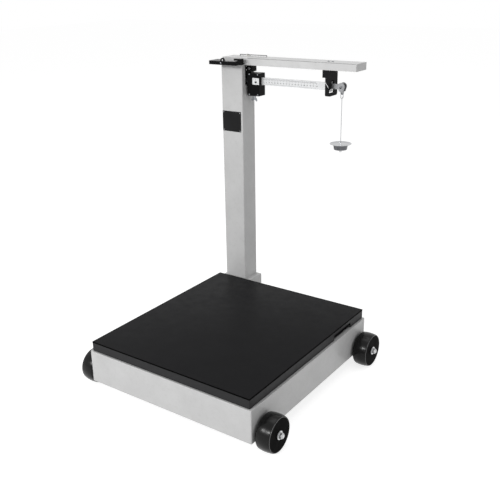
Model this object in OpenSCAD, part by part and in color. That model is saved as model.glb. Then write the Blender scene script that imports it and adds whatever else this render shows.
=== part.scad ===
// Portable beam floor scale: a steel platform on four wheels, a side column, and a
// weighing beam under a shelf. Millimetres, +Z up, +X right along the beam, +Y to the back.
// The origin is on the floor under the middle of the footprint.

/* [Platform] */
// Width of the deck across the front
deck_w = 635; // [600:5:680]
// Depth of the deck from front to back
deck_d = 711; // [680:1:760]
// Height of the deck above the floor
deck_top = 185.5; // [183:0.5:190]
// Height of the folded skirt of the deck
skirt_h = 32; // [26:1:34]
// Thickness of the deck sheet
deck_t = 3; // [2:0.5:4]

/* [Base] */
// How far the base stands out past the deck at each side
base_over_x = 7.5; // [6:0.5:10]
// How far the base stands out past the deck at the front and the back
base_over_y = 4.5; // [3:0.5:8]
// Height of the base walls
base_h = 113; // [108:1:114]
// Thickness of the base walls
base_wall = 3; // [2.5:0.5:4]
// Gap between the base walls and the skirt above them
deck_gap = 1.5; // [1:0.5:3]

/* [Wheels] */
// Diameter of the wheels
wheel_d = 119; // [112:1:122]
// Width of the wheels
wheel_w = 53; // [46:1:56]
// Gap between a wheel and the base wall
wheel_gap = 4.5; // [3:0.5:6]
// Distance of the front axle from the front of the base
axle_front = 61; // [58:1:66]
// Distance of the rear axle from the back of the base
axle_rear = 48; // [46:1:54]

/* [Column] */
// Width of the column across the front
column_w = 93.5; // [90:0.5:98]
// Depth of the column
column_d = 81; // [78:1:86]
// Wall thickness of the column tube
column_wall = 2.5; // [2:0.5:3]
// Height of the column top above the floor
column_top = 1002.5; // [960:2.5:1100]
// Distance of the column axis from the left side of the deck
column_inset = 52; // [51:0.5:53]
// Width of the foot box that carries the column
foot_w = 127; // [124:1:128]
// Depth of the foot box behind the base
foot_d = 122.5; // [120:0.5:126]
// Height of the foot box above the floor
foot_top = 162.5; // [158:0.5:166]

/* [Shelf] */
// Reach of the shelf to the right of the column axis
shelf_reach = 497.5; // [490:0.5:540]
// Depth of the shelf tube
shelf_d = 72; // [70:1:76]
// Height of the shelf tube
shelf_h = 25; // [22:1:28]

/* [Beam] */
// Distance from the load pivot to the fulcrum of the beam
load_arm = 30; // [28:1:32]
// Distance from the fulcrum to the tip pivot of the beam
power_arm = 389; // [385:1:392]
// Height of the beam bar
beam_h = 26; // [24:1:28]
// Thickness of the beam bar
beam_t = 8; // [7:0.5:9]
// Depth of the beam's pivot line under the column top
beam_drop = 53.5; // [52:0.5:55]

/* [Poise] */
// Width of the poise along the beam
poise_w = 54; // [50:1:56]
// Height of the poise
poise_h = 82; // [78:1:84]
// Depth of the poise
poise_d = 36; // [34:1:38]
// Travel of the poise along the beam
poise_travel = 245; // [200:5:250]

/* [Weight pan] */
// Diameter of the pan plate
pan_d = 76; // [70:1:90]
// Diameter of the cup under the pan plate
cup_d = 52; // [44:1:56]
// Depth of the cup
cup_h = 17; // [12:1:22]

/* [Hidden] */
$fn = 48;
cut = 1;

// Deck and base
base_w = deck_w + 2*base_over_x;
base_d = deck_d + 2*base_over_y;
base_top = deck_top - skirt_h - deck_gap;
base_z = base_top - base_h;
base_front = -(base_d + foot_d)/2;
base_back = base_front + base_d;
deck_y = base_front + base_d/2;
base_flange_top = 14;
base_flange_bottom = 30;
base_corner_r = 4;

// Wheels and axles
wheel_r = wheel_d/2;
axle_d = 12;
axle_y_front = base_front + axle_front;
axle_y_rear = base_back - axle_rear;
wheel_in_x = base_w/2 + wheel_gap;
wheel_out_x = wheel_in_x + wheel_w;
bush_d = 18;
run_clear = 0.05;
crown_r = 104;
crown_y = 28;
shoulder_r = 15;
shoulder_x = wheel_r - shoulder_r - 0.3;
tread_edge = 1.5;

// Column, foot and shelf
column_x = -deck_w/2 + column_inset;
column_y = base_back + foot_d - column_d/2 - 8.75;
column_front = column_y - column_d/2;
foot_wall = 4;
shelf_z = column_top + 2.5;
shelf_wall = 2.5;
shelf_left = column_x - column_w/2;
shelf_right = column_x + shelf_reach;
shelf_front = column_front + 12;
shelf_back = shelf_front + shelf_d;
shelf_y = shelf_front + shelf_d/2;
shelf_top = shelf_z + shelf_h;

// Pivot lines of the beam
fulcrum_x = column_x + 45;
load_x = fulcrum_x - load_arm;
tip_x = fulcrum_x + power_arm;
beam_y = column_y;
pivot_z = column_top - beam_drop;
beam_z = pivot_z - 1.5;
knife = 7;
seat_gap = 0.35;

// Lever train under the deck
lever_z = base_z + 58.5;
main_fulcrum_y = base_front + 64;
lever_reach = beam_y - main_fulcrum_y;
lever_load_arm = lever_reach/10;
short_fulcrum_y = base_back - 60;
link_y = (main_fulcrum_y + short_fulcrum_y)/2;
corner_x = base_w/2 - 45;
head_t = 14;
knife_l = 42;
tube_s = 34;
short_z = base_z + 32.5;
arm_z = lever_z + 8;
link_z = lever_z + 14;
vee_slope = 0.7;
deck_rib_z = deck_top - 44;
rib_t = 3;

// Poise
poise_x = fulcrum_x + 36;
poise_z = pivot_z - 13.5;
plate_t = 5;
window_w = 29.6;
window_h = 24;
window_x = 9.9;
plate_screw_x = poise_w/2 - 8.5;
plate_screw_z = poise_h/2 - 5;

// Trig loop and tip
loop_x = 124;
loop_w = 15;
loop_t = 3;
loop_flange_w = 26;
loop_bottom = pivot_z - 33;
sleeve_l = 21;
sleeve_h = 34;

trig_screw_x = loop_x - 4;
trig_screw_y = beam_y + 4;
trig_screw_gap = 7.5;

// Pendant and hanger
eye_drop = 21.5;
eye_z = pivot_z - eye_drop;
rod_d = 3;
pan_z = pivot_z - 198;

// Rounded rectangle with true arcs at its corners
module rounded_rect(w, d, r) {
    square([w - 2*r, d], center = true);
    square([w, d - 2*r], center = true);
    for (x = [-1, 1], y = [-1, 1])
        translate([x*(w/2 - r), y*(d/2 - r)]) circle(r);
}

// Block with rounded upright edges, standing on z = 0
module rounded_block(w, d, h, r) {
    linear_extrude(h) rounded_rect(w, d, r);
}

// Cylinder lying along X from x = 0
module rod_x(d, l) {
    rotate([0, 90, 0]) cylinder(d = d, h = l);
}

// Cylinder lying along Y, centred on y = 0
module rod_y(d, l) {
    rotate([90, 0, 0]) cylinder(d = d, h = l, center = true);
}

// Knife-edge bar along X, centred, with its edges at the top and the bottom
module knife_x(l, s = knife) {
    rotate([0, 90, 0]) linear_extrude(l, center = true)
        polygon([[-s/2, 0], [0, s/2], [s/2, 0], [0, -s/2]]);
}

// Space over an upright V seat: its apex stays a little under the knife
module vee_space(s = knife, slope = vee_slope) {
    low = -s/2 - seat_gap;
    polygon([[0, low], [20, low + 20*slope], [-20, low + 20*slope]]);
}

// Window round a knife in the side plate of a link, with its seat at the bottom or the top
module link_window(seat_on_top) {
    rotate(seat_on_top ? 180 : 0) intersection() {
        vee_space();
        translate([-6, -20]) square([12, 27]);
    }
}

// Knife-edge bar along Y, centred
module knife_y(l, s = knife) {
    rotate([90, 0, 0]) linear_extrude(l, center = true)
        polygon([[-s/2, 0], [0, s/2], [s/2, 0], [0, -s/2]]);
}

// Plate standing in the XZ plane: a profile in X and Z, centred on y = 0
module plate_xz(t) {
    rotate([90, 0, 0]) linear_extrude(t, center = true) children();
}

// Plate standing in the YZ plane: a profile in Y and Z, centred on x = 0
module plate_yz(t) {
    rotate([90, 0, 90]) linear_extrude(t, center = true) children();
}

// Hexagon bar along X from x = 0, for bolt heads and nuts
module hex_x(across, l) {
    rotate([0, 90, 0]) cylinder(d = across*2/sqrt(3), h = l, $fn = 6);
}

// The four corners of the base, each as [side, y of the axle]
corners = [for (s = [-1, 1], y = [axle_y_front, axle_y_rear]) [s, y]];

// The four lever stands, each as [side, y of the fulcrum pivot]
stands = [for (s = [-1, 1], y = [main_fulcrum_y, short_fulcrum_y]) [s, y]];

// The four load pivots that carry the deck, each as [side, y of the pivot]
load_points = [
    for (s = [-1, 1], y = [main_fulcrum_y + lever_load_arm, short_fulcrum_y - lever_load_arm])
        [s, y]
];

// Base

// Slot in the back wall of the base, where the main lever goes through to the column
module lever_slot() {
    translate([load_x - 20, base_back - 15, lever_z - 32]) cube([40, 40, 62]);
}

// Folded steel frame: four walls, with flanges turned in at the top and the bottom
module base_frame() {
    color("silver") difference() {
        translate([0, deck_y, base_z]) rounded_block(base_w, base_d, base_h, base_corner_r);
        translate([0, deck_y, base_z + base_wall])
            rounded_block(base_w - 2*base_wall, base_d - 2*base_wall,
                          base_h - 2*base_wall, 1.5);
        translate([0, deck_y, base_z + base_h/2])
            rounded_block(base_w - 2*base_flange_top, base_d - 2*base_flange_top, base_h, 6);
        translate([0, deck_y, base_z - cut])
            rounded_block(base_w - 2*base_flange_bottom, base_d - 2*base_flange_bottom,
                          base_h/2, 10);
        lever_slot();
        for (c = corners)
            translate([c[0]*(base_w/2 - 10), c[1], wheel_r]) rotate([0, c[0]*90, 0])
                cylinder(d = axle_d + 0.4, h = 20);
        for (x = [-1, 1], z = [0, 1])
            translate([column_x + x*(foot_w/2 - 16), base_back, base_z + 20 + z*72])
                rod_y(8.4, 20);
    }
}

// Corner plates on the bottom flange, which carry the lever stands
module corner_plates() {
    color("silver") for (p = stands)
        translate([p[0]*corner_x, p[1], base_z + base_wall]) difference() {
            rounded_block(80, 92, 5, 6);
            for (y = [-1, 1])
                translate([p[0]*6, y*24, -cut]) cylinder(d = 6.6, h = 8);
        }
}

// One stand: a foot, two ribbed posts beside the lever head, and a seat in each post
module lever_stand() {
    seat = lever_z - base_z - base_wall - 5;
    difference() {
        union() {
            rounded_block(46, 62, 7, 4);
            for (x = [-1, 1])
                translate([x*16, 0, 0]) plate_yz(8)
                    polygon([[-20, 0], [20, 0], [13, seat + 4], [-13, seat + 4]]);
            translate([-20, -4, 0]) cube([40, 8, 22]);
        }
        for (y = [-1, 1])
            translate([6, y*24, -cut]) cylinder(d = 6.6, h = 10);
        translate([-25, -8, seat - 11]) cube([50, 16, 40]);
    }
}

module lever_stands() {
    color("dimgray") for (p = stands)
        translate([p[0]*corner_x, p[1], base_z + base_wall + 5])
            mirror([p[0] < 0 ? 1 : 0, 0, 0]) lever_stand();
}

// Hardened V bearings that the fulcrum knives of both levers rest in
module stand_bearings() {
    color("gray") for (p = stands, x = [-1, 1])
        translate([p[0]*corner_x + x*16, p[1], lever_z]) plate_yz(8) difference() {
            translate([-8, -11]) square([16, 12]);
            vee_space();
        }
}

// Bolts that hold the stands on the corner plates
module stand_bolts() {
    color("lightgray") for (p = stands, y = [-1, 1])
        translate([p[0]*(corner_x + 6), p[1] + y*24, base_z + base_wall - 6]) {
            cylinder(d = 6, h = 20);
            translate([0, 0, 18]) cylinder(d = 11.5, h = 4.2, $fn = 6);
        }
}

// Wheels

// Axle bolt: a hexagon head inside the base wall and a shank out through the wheel
module axle_bolts() {
    color("lightgray") for (c = corners)
        translate([c[0]*(base_w/2 - base_wall - 8), c[1], wheel_r])
            mirror([c[0] < 0 ? 1 : 0, 0, 0]) {
                hex_x(18, 8);
                rod_x(axle_d, base_wall + 8 + wheel_gap + wheel_w + 13.5);
            }
}

// Lock nuts at the outer ends of the axle bolts
module axle_nuts() {
    color("silver") for (c = corners)
        translate([c[0]*(wheel_out_x + 2.3), c[1], wheel_r]) mirror([c[0] < 0 ? 1 : 0, 0, 0])
            difference() {
                union() {
                    hex_x(18, 9);
                    rod_x(17, 10);
                }
                translate([-cut, 0, 0]) rod_x(axle_d, 14);
            }
}

// Flat washers: a thick one against the base wall and a thin one between wheel and nut
module axle_washers() {
    color("silver") for (c = corners)
        translate([0, c[1], wheel_r]) mirror([c[0] < 0 ? 1 : 0, 0, 0]) {
            difference() {
                translate([base_w/2, 0, 0]) rod_x(28, wheel_gap - 0.4);
                translate([base_w/2 - cut, 0, 0]) rod_x(axle_d, wheel_gap + 2);
            }
            difference() {
                translate([wheel_out_x + 0.3, 0, 0]) rod_x(28, 2);
                translate([wheel_out_x - cut, 0, 0]) rod_x(axle_d, 6);
            }
        }
}

// Half section of a wheel: X is the radius, Y runs from the inner face to the outer one.
// The tread is crowned, with a round inner shoulder and a small bevel at the outer edge.
module wheel_section() {
    edge_r = wheel_r - crown_r + sqrt(crown_r*crown_r - (wheel_w - crown_y)*(wheel_w - crown_y));
    far = wheel_r + 20;
    difference() {
        intersection() {
            union() {
                translate([bush_d/2, 0]) square([shoulder_x - bush_d/2, wheel_w + 10]);
                translate([bush_d/2, shoulder_r]) square([wheel_r, wheel_w]);
                translate([shoulder_x, shoulder_r]) circle(shoulder_r);
            }
            translate([wheel_r - crown_r, crown_y]) circle(crown_r, $fn = 96);
            polygon([[0, -cut], [far, -cut], [far, wheel_w - far + edge_r - tread_edge],
                     [edge_r - tread_edge, wheel_w], [0, wheel_w]]);
        }
        translate([22, -cut]) square([shoulder_x - 26, 9]);
    }
}

module wheel(side, y) {
    color("#1b1b1c") translate([side*wheel_in_x, y, wheel_r]) rotate([0, side*90, 0])
        rotate_extrude($fn = 96) wheel_section();
}

module wheel_front_left() { wheel(-1, axle_y_front); }
module wheel_front_right() { wheel(1, axle_y_front); }
module wheel_rear_left() { wheel(-1, axle_y_rear); }
module wheel_rear_right() { wheel(1, axle_y_rear); }

// Steel bush pressed into the wheel, which turns on the axle bolt
module bush(side, y) {
    color("gray") translate([side*wheel_in_x, y, wheel_r]) rotate([0, side*90, 0])
        difference() {
            cylinder(d = bush_d, h = wheel_w - 0.4);
            translate([0, 0, -cut]) cylinder(d = axle_d + 2*run_clear, h = wheel_w + 2);
        }
}

module bush_front_left() { bush(-1, axle_y_front); }
module bush_front_right() { bush(1, axle_y_front); }
module bush_rear_left() { bush(-1, axle_y_rear); }
module bush_rear_right() { bush(1, axle_y_rear); }

// Deck

// Dark slot in the skirt of the deck, low on its right side
module skirt_slot() {
    translate([deck_w/2 - 10, deck_y + 146, deck_top - skirt_h - cut]) cube([20, 118, 20]);
}

// Deck sheet with its skirt folded down all round
module deck_plate() {
    color("#333436") difference() {
        translate([0, deck_y, deck_top - skirt_h])
            rounded_block(deck_w, deck_d, skirt_h, 3);
        translate([0, deck_y, deck_top - skirt_h - cut])
            rounded_block(deck_w - 2*deck_t, deck_d - 2*deck_t, skirt_h - deck_t + cut, 1);
        skirt_slot();
    }
}

// Channel rib under the deck, open at the bottom: length along Y
module rib_y(l) {
    h = deck_top - deck_t - deck_rib_z;
    difference() {
        translate([-18, -l/2, 0]) cube([36, l, h]);
        translate([-18 + rib_t, -l/2 - cut, -cut])
            cube([36 - 2*rib_t, l + 2*cut, h - rib_t + cut]);
    }
}

// Welded ribs: two along the sides over the load pivots and three across
module deck_ribs() {
    color("#3a3b3d") translate([0, deck_y, deck_rib_z]) {
        for (s = [-1, 1])
            translate([s*corner_x, 0, 0]) rib_y(deck_d - 34);
        for (y = [-215, 0, 215])
            translate([0, y, 0]) rotate([0, 0, 90]) rib_y(2*corner_x - 35);
    }
}

// Feet under the ribs, with inverted V seats over the load knives of the levers
module deck_feet() {
    top = deck_top - deck_t - rib_t - lever_z;
    plate = deck_rib_z - 12 - lever_z;
    color("dimgray") for (p = load_points)
        translate([p[0]*corner_x, p[1], lever_z]) {
            translate([-14.5, -14, plate]) cube([29, 28, top - plate]);
            translate([-20, -14, plate]) cube([40, 28, 11.8]);
            for (x = [-1, 1])
                translate([x*15.5, 0, 0]) plate_yz(9) difference() {
                    polygon([[-14, plate + 2], [-9, -1], [9, -1], [14, plate + 2]]);
                    rotate(180) vee_space();
                }
        }
}

// Lever train

// Head at one end of a lever: a plate that holds the fulcrum knife and the load knife
module lever_head(toward) {
    plate_yz(head_t) {
        circle(13);
        translate([toward*lever_load_arm, 0]) circle(13);
        translate([toward > 0 ? 0 : -lever_load_arm, -13]) square([lever_load_arm, 26]);
    }
}

// Side profile of an arm that tapers from one end to the other
module tapered_arm(l, h0, h1) {
    polygon([[0, -h0/2], [l, -h1/2], [l, h1/2], [0, h0/2]]);
}

// Tapered arm along Y with a pocket in each side, as a cast I section
module cast_arm(l, h0, h1, t, dir) {
    mirror([0, dir < 0 ? 1 : 0, 0]) difference() {
        plate_yz(t) tapered_arm(l, h0, h1);
        for (x = [-1, 1])
            translate([x*t/2, 24, 0]) plate_yz(t - 7)
                tapered_arm(l - 56, h0 - 13, h1 - 9);
    }
}

// Long lever: a torsion tube across the front, two heads, and one long arm to the column
module main_lever() {
    tube_y = main_fulcrum_y + lever_load_arm/2;
    color("#5b5d5f") difference() {
        union() {
            for (s = [-1, 1])
                translate([s*corner_x, main_fulcrum_y, lever_z]) lever_head(1);
            translate([-corner_x, tube_y - tube_s/2, lever_z - tube_s/2])
                cube([2*corner_x, tube_s, tube_s]);
            translate([load_x, tube_y, arm_z]) cast_arm(beam_y - tube_y, 44, 26, 16, 1);
            translate([load_x, beam_y, lever_z + 4]) plate_yz(18) circle(15);
            translate([load_x, link_y, link_z]) plate_yz(18) circle(11);
        }
        translate([0, tube_y, lever_z]) rotate([0, 90, 0])
            cylinder(d = 22, h = 2*corner_x + 20, center = true);
        main_lever_pivots();
    }
}

// Knife edges of the long lever
module main_lever_pivots() {
    color("gray") {
        for (s = [-1, 1], a = [0, lever_load_arm])
            translate([s*corner_x, main_fulcrum_y + a, lever_z]) knife_x(knife_l);
        translate([load_x, link_y, link_z]) knife_x(36);
        translate([load_x, beam_y, lever_z]) knife_x(36);
    }
}

// Short lever: a torsion tube across the back, two heads, and an arm to the centre link
module short_lever() {
    tube_y = short_fulcrum_y - lever_load_arm/2;
    color("#5b5d5f") difference() {
        union() {
            for (s = [-1, 1]) {
                translate([s*corner_x, short_fulcrum_y, lever_z]) lever_head(-1);
                translate([s*corner_x - head_t/2, tube_y - tube_s/2 + 3, short_z - 12])
                    cube([head_t, tube_s - 6, lever_z - short_z + 12]);
            }
            translate([-corner_x, tube_y - 14, short_z - 12])
                cube([2*corner_x, 28, 24]);
            translate([load_x, tube_y, short_z])
                cast_arm(tube_y - link_y, 24, 20, 16, -1);
            translate([load_x, link_y, short_z]) plate_yz(16) circle(10);
        }
        translate([0, tube_y, short_z]) rotate([0, 90, 0])
            cylinder(d = 16, h = 2*corner_x + 20, center = true);
        short_lever_pivots();
    }
}

// Knife edges of the short lever
module short_lever_pivots() {
    color("gray") {
        for (s = [-1, 1], a = [0, lever_load_arm])
            translate([s*corner_x, short_fulcrum_y - a, lever_z]) knife_x(knife_l);
        translate([load_x, link_y, short_z]) knife_x(34);
    }
}

// Loop that hangs on the long lever and holds up the nose of the short one
module centre_link() {
    high = lever_z + 29;
    low = short_z - 19;
    color("gray") translate([load_x, link_y, 0]) {
        for (x = [-1, 1])
            translate([x*13.5, 0, 0]) plate_yz(5) difference() {
                translate([0, (high + low)/2 + 3]) rounded_rect(22, high - low + 6, 3);
                translate([0, link_z]) link_window(true);
                translate([0, short_z]) link_window(false);
            }
        translate([-13, -8, high]) cube([26, 16, 6]);
        translate([-13, -8, low]) cube([26, 16, 6]);
    }
}

low_block_z = lever_z + 30;
high_block_z = pivot_z - 36;

// Steelyard rod from the long lever up to the beam
module steelyard_rod() {
    color("silver") translate([load_x, beam_y, low_block_z - 4])
        cylinder(d = 8, h = high_block_z + 16 - low_block_z);
}

// Stirrup under the nose of the long lever and stirrup over the load knife of the beam
module rod_stirrups() {
    low = lever_z - 20;
    high = pivot_z + 12;
    color("gray") translate([load_x, beam_y, 0]) difference() {
        union() {
            for (x = [-1, 1])
                translate([x*13.5, 0, 0]) plate_yz(5) difference() {
                    translate([0, (low + low_block_z + 12)/2])
                        rounded_rect(22, low_block_z + 12 - low, 3);
                    translate([0, lever_z]) link_window(false);
                }
            translate([-13, -8, low]) cube([26, 16, 5]);
            translate([-13, -8, low_block_z]) cube([26, 16, 12]);
            for (y = [-1, 1])
                translate([0, y*9, 0]) plate_xz(4) difference() {
                    translate([0, (high + high_block_z)/2])
                        rounded_rect(20, high - high_block_z, 3);
                    translate([0, pivot_z]) link_window(true);
                }
            translate([-8, -9, high_block_z]) cube([16, 18, 12]);
        }
        translate([0, 0, low_block_z - 10]) cylinder(d = 8.1, h = high_block_z - low_block_z + 30);
    }
}

// Column

// Foot box bolted to the back wall of the base, with the column standing on its top
module column_foot() {
    h = foot_top - base_z;
    color("silver") difference() {
        translate([column_x - foot_w/2, base_back + 0.1, base_z])
            cube([foot_w, foot_d - 0.1, h]);
        translate([column_x - foot_w/2 + foot_wall, base_back + foot_wall, base_z - cut])
            cube([foot_w - 2*foot_wall, foot_d - 2*foot_wall, h - foot_wall]);
        translate([column_x, column_y, foot_top - 10])
            rounded_block(column_w - 17, column_d - 17, 20, 3);
        lever_slot();
        for (x = [-1, 1], z = [0, 1])
            translate([column_x + x*(foot_w/2 - 16), base_back, base_z + 20 + z*72])
                rod_y(8.4, 20);
    }
}

// Bolts through the foot and the back wall of the base
module foot_bolts() {
    color("lightgray") for (x = [-1, 1], z = [0, 1])
        translate([column_x + x*(foot_w/2 - 16), base_back, base_z + 20 + z*72]) {
            translate([0, 0.5, 0]) rod_y(8, 20);
            translate([0, foot_wall + 3, 0]) rotate([90, 0, 0])
                cylinder(d = 15, h = 6, center = true, $fn = 6);
            translate([0, -base_wall - 3, 0]) rotate([90, 0, 0])
                cylinder(d = 15, h = 6, center = true, $fn = 6);
        }
}

// Rectangular column tube, open at its upper right side for the beam
module column() {
    color("silver") difference() {
        translate([column_x, column_y, foot_top])
            rounded_block(column_w, column_d, column_top - foot_top, 4);
        translate([column_x, column_y, foot_top - cut])
            rounded_block(column_w - 2*column_wall, column_d - 2*column_wall,
                          column_top - foot_top + 2*cut, 2);
        translate([column_x + column_w/2 - 10, beam_y - 20, pivot_z - 19])
            cube([20, 40, 100]);
    }
}

// Socket frame that stands on the foot and locates the column from inside
module column_socket() {
    w = column_w - 2*column_wall - 0.6;
    d = column_d - 2*column_wall - 0.6;
    color("gray") translate([column_x, column_y, foot_top]) difference() {
        rounded_block(w, d, 30, 2);
        translate([0, 0, -cut]) rounded_block(w - 10, d - 10, 40, 2);
    }
}

// Cap plate that closes the column under the shelf
module column_cap() {
    color("silver") translate([column_x, column_y, column_top]) difference() {
        rounded_block(column_w, column_d, 2.5, 4);
        translate([column_w/2 - 8, -17, -cut]) cube([20, 34, 10]);
    }
}

// Shelf

// Rectangular tube over the beam
module shelf_tube() {
    w = shelf_right - shelf_left;
    color("gainsboro") difference() {
        translate([(shelf_left + shelf_right)/2, shelf_y, shelf_z]) difference() {
            translate([0, -shelf_d/2, 0]) cube_x(w, shelf_d, shelf_h);
            translate([0, -shelf_d/2 + shelf_wall, shelf_wall])
                cube_x(w + 2*cut, shelf_d - 2*shelf_wall, shelf_h - 2*shelf_wall);
        }
        for (x = [-1, 1])
            translate([trig_screw_x + x*trig_screw_gap, trig_screw_y, shelf_z - cut])
                cylinder(d = 5.2, h = shelf_h + 2*cut);
        translate([stand_l + 19, beam_y, shelf_z - cut]) cylinder(d = 5.2, h = 6);
    }
}

// Box centred in X and standing on y = 0 and z = 0
module cube_x(w, d, h) {
    translate([-w/2, 0, 0]) cube([w, d, h]);
}

// Caps that close both ends of the shelf tube
module shelf_end_cap() {
    for (s = [0, 1])
        color("darkgray") translate([s == 0 ? shelf_left - 1.5 : shelf_right, shelf_front, shelf_z]) {
            cube([1.5, shelf_d, shelf_h]);
            translate([s == 0 ? 1.5 : -9, shelf_wall + 0.4, shelf_wall + 0.4])
                cube([9, shelf_d - 2*shelf_wall - 0.8, shelf_h - 2*shelf_wall - 0.8]);
        }
}

rail_x = column_x + 46;
rail_l = 118;
rail_h = 4;

// Thin rail at the back edge of the shelf, bent down into it at both ends
module shelf_rail() {
    color("gray") translate([rail_x, shelf_back - 8, shelf_top]) {
        translate([-rail_l/2, 0, rail_h]) rod_x(2.6, rail_l);
        for (s = [-1, 1])
            translate([s*rail_l/2, 0, 0]) cylinder(d = 2.6, h = rail_h);
        for (s = [-1, 1])
            translate([s*rail_l/2, 0, rail_h]) sphere(d = 2.6);
    }
}

// Small tab on the shelf that holds the rail
module rail_tab() {
    color("white") translate([column_x + 20, shelf_back - 8, shelf_top]) difference() {
        union() {
            plate_yz(2) translate([0, 0]) polygon([[-6, 0], [6, 0], [4, 7], [-4, 7]]);
            translate([-1, -6, 0]) cube([12, 12, 1.5]);
        }
        translate([-5, 0, rail_h]) rod_x(3, 10);
        translate([6, 0, -cut]) cylinder(d = 4, h = 5);
    }
}

rack_w = 120;
rack_d = 70;
rack_h = 13;
rack_z = shelf_z + 5.2;
rack_bar = 18;
rack_side = 14;
rack_screw_x = column_x - 5;

// Outline of the rack's rim: a bar across the front and two side walls
module rack_rim() {
    translate([5, 0]) square([rack_w - 10, rack_bar]);
    translate([0, 5]) square([rack_w, rack_bar - 5]);
    for (x = [5, rack_w - 5]) translate([x, 5]) circle(5);
    polygon([[0, 10], [42, 10], [42, rack_bar], [17, 54.5], [0, 54.5]]);
    translate([rack_w - rack_side, 10]) square([rack_side, 41.5]);
}

// Small upright loop on the front bar of the rack
module rack_loop() {
    plate_xz(5) difference() {
        union() {
            translate([0, 2]) circle(8.5);
            translate([-8.5, -1]) square([17, 3]);
        }
        translate([0, 2]) circle(4.5);
        translate([-4.5, -2]) square([9, 4]);
        translate([-20, -21]) square([40, 20]);
    }
}

// Moulded rack for loose weights: a tray on the front of the shelf, over the column
module weight_rack() {
    left = column_x - rack_w/2;
    front = shelf_front - rack_d;
    color("#1d1d1e") difference() {
        translate([left, front, rack_z]) {
            linear_extrude(rack_h) rack_rim();
            translate([9, 10, 0]) cube([rack_w - 9 - rack_side/2, rack_d - 10, 2]);
            translate([54, 13, rack_h]) rack_loop();
        }
        translate([rack_screw_x, front - cut, rack_z + rack_h/2]) rotate([-90, 0, 0])
            cylinder(d = 4.2, h = 9);
    }
}

// Screw in the front of the rack
module rack_screw() {
    color("white") translate([rack_screw_x, shelf_front - rack_d, rack_z + rack_h/2])
        rotate([-90, 0, 0]) {
            cylinder(d = 4, h = 7);
            translate([0, 0, -1.5]) cylinder(d = 6.5, h = 1.5);
        }
}

// Beam stand and trig loop

stand_l = fulcrum_x - 3;

// Hanger under the shelf: a block with two cheeks beside the beam
module beam_stand() {
    color("#1d1d1e") difference() {
        union() {
            translate([stand_l, beam_y - 14, shelf_z - 24]) cube([32, 28, 24]);
            translate([fulcrum_x - 11, beam_y - 14, shelf_z - 32]) cube([18.5, 28, 29]);
            for (y = [-1, 1])
                translate([fulcrum_x, beam_y + y*11, 0]) plate_xz(6)
                    polygon([[-11, shelf_z - 3], [7.5, shelf_z - 3], [7.5, pivot_z - 10],
                             [4, pivot_z - 14], [-7, pivot_z - 14], [-11, pivot_z - 10]]);
        }
        translate([fulcrum_x - 5.5, beam_y - 20, pivot_z - 7]) cube([11, 40, 16]);
        translate([stand_l + 19, beam_y, shelf_z - 30]) cylinder(d = 5.2, h = 40);
    }
}

// V bearings in the cheeks, which the fulcrum knife of the beam rests in
module beam_bearings() {
    color("gray") for (y = [-1, 1])
        translate([fulcrum_x, beam_y + y*11, pivot_z]) plate_xz(6) difference() {
            translate([-5.5, -7]) square([11, 6.6]);
            vee_space();
        }
}

// Screws through the shelf into the beam stand
module stand_screws() {
    color("silver") translate([stand_l + 19, beam_y, shelf_z - 16]) {
        cylinder(d = 5, h = 16 + shelf_wall);
        translate([0, 0, 16 + shelf_wall]) cylinder(d = 9, h = 3);
    }
}

// Side plate of the trig loop at the right, with the window that the beam's nose goes through
module loop_right_plate(d, h) {
    plate_yz(loop_t) difference() {
        translate([0, loop_bottom + h/2]) rounded_rect(d - 2, h - 2, 7);
        polygon([[-26.5, pivot_z - 21], [2.5, pivot_z - 21], [2.5, pivot_z + 20],
                 [-10.5, pivot_z + 20], [-10.5, pivot_z - 7], [-26.5, pivot_z - 11]]);
    }
}

// Side plate of the trig loop at the left: it stops the beam from above and guards the back
module loop_left_plate() {
    plate_yz(loop_t)
        polygon([[-28, shelf_z - 2], [28, shelf_z - 2], [28, pivot_z - 6], [4.5, pivot_z - 6],
                 [4.5, pivot_z + 25], [-28, pivot_z + 25]]);
}

// Steel strap bent into a loop round the beam, with a slanting gap in its front leg
module trig_loop() {
    front = shelf_front + 2;
    d = shelf_d - 11;
    h = shelf_z - loop_bottom;
    color("#1d1d1e") difference() {
        translate([loop_x, front + d/2, 0]) {
            plate_yz(loop_w) difference() {
                translate([0, loop_bottom + h/2]) rounded_rect(d, h, 8);
                translate([0, loop_bottom + h/2]) rounded_rect(d - 2*loop_t, h - 2*loop_t, 5);
            }
            translate([loop_w/2 - loop_flange_w, -d/2, shelf_z - loop_t])
                cube([loop_flange_w, d, loop_t]);
            translate([loop_w/2 - loop_flange_w, -d/2, shelf_z - 26])
                cube([loop_flange_w, loop_t, 26]);
            translate([(loop_w - loop_t)/2, 0, 0]) loop_right_plate(d, h);
            translate([-(loop_w - loop_t)/2, 0, 0]) loop_left_plate();
        }
        translate([loop_x, front, pivot_z + 3.8]) rotate([0, 53, 0])
            translate([-20, -5, -1.8]) cube([40, 5 + loop_t + 0.5, 3.6]);
        for (x = [-1, 1])
            translate([trig_screw_x + x*trig_screw_gap, trig_screw_y, shelf_z - 10])
                cylinder(d = 5.2, h = 20);
    }
}

// Screws through the shelf, tapped into the flange of the loop
module trig_screws() {
    color("silver") for (x = [-1, 1])
        translate([trig_screw_x + x*trig_screw_gap, trig_screw_y, shelf_z - loop_t]) {
            cylinder(d = 5, h = shelf_h + loop_t);
            translate([0, 0, shelf_h + loop_t]) cylinder(d = 9, h = 2);
        }
}

// Beam

bar_left = fulcrum_x + 9;
bar_right = loop_x - loop_w/2 - 10;

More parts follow.
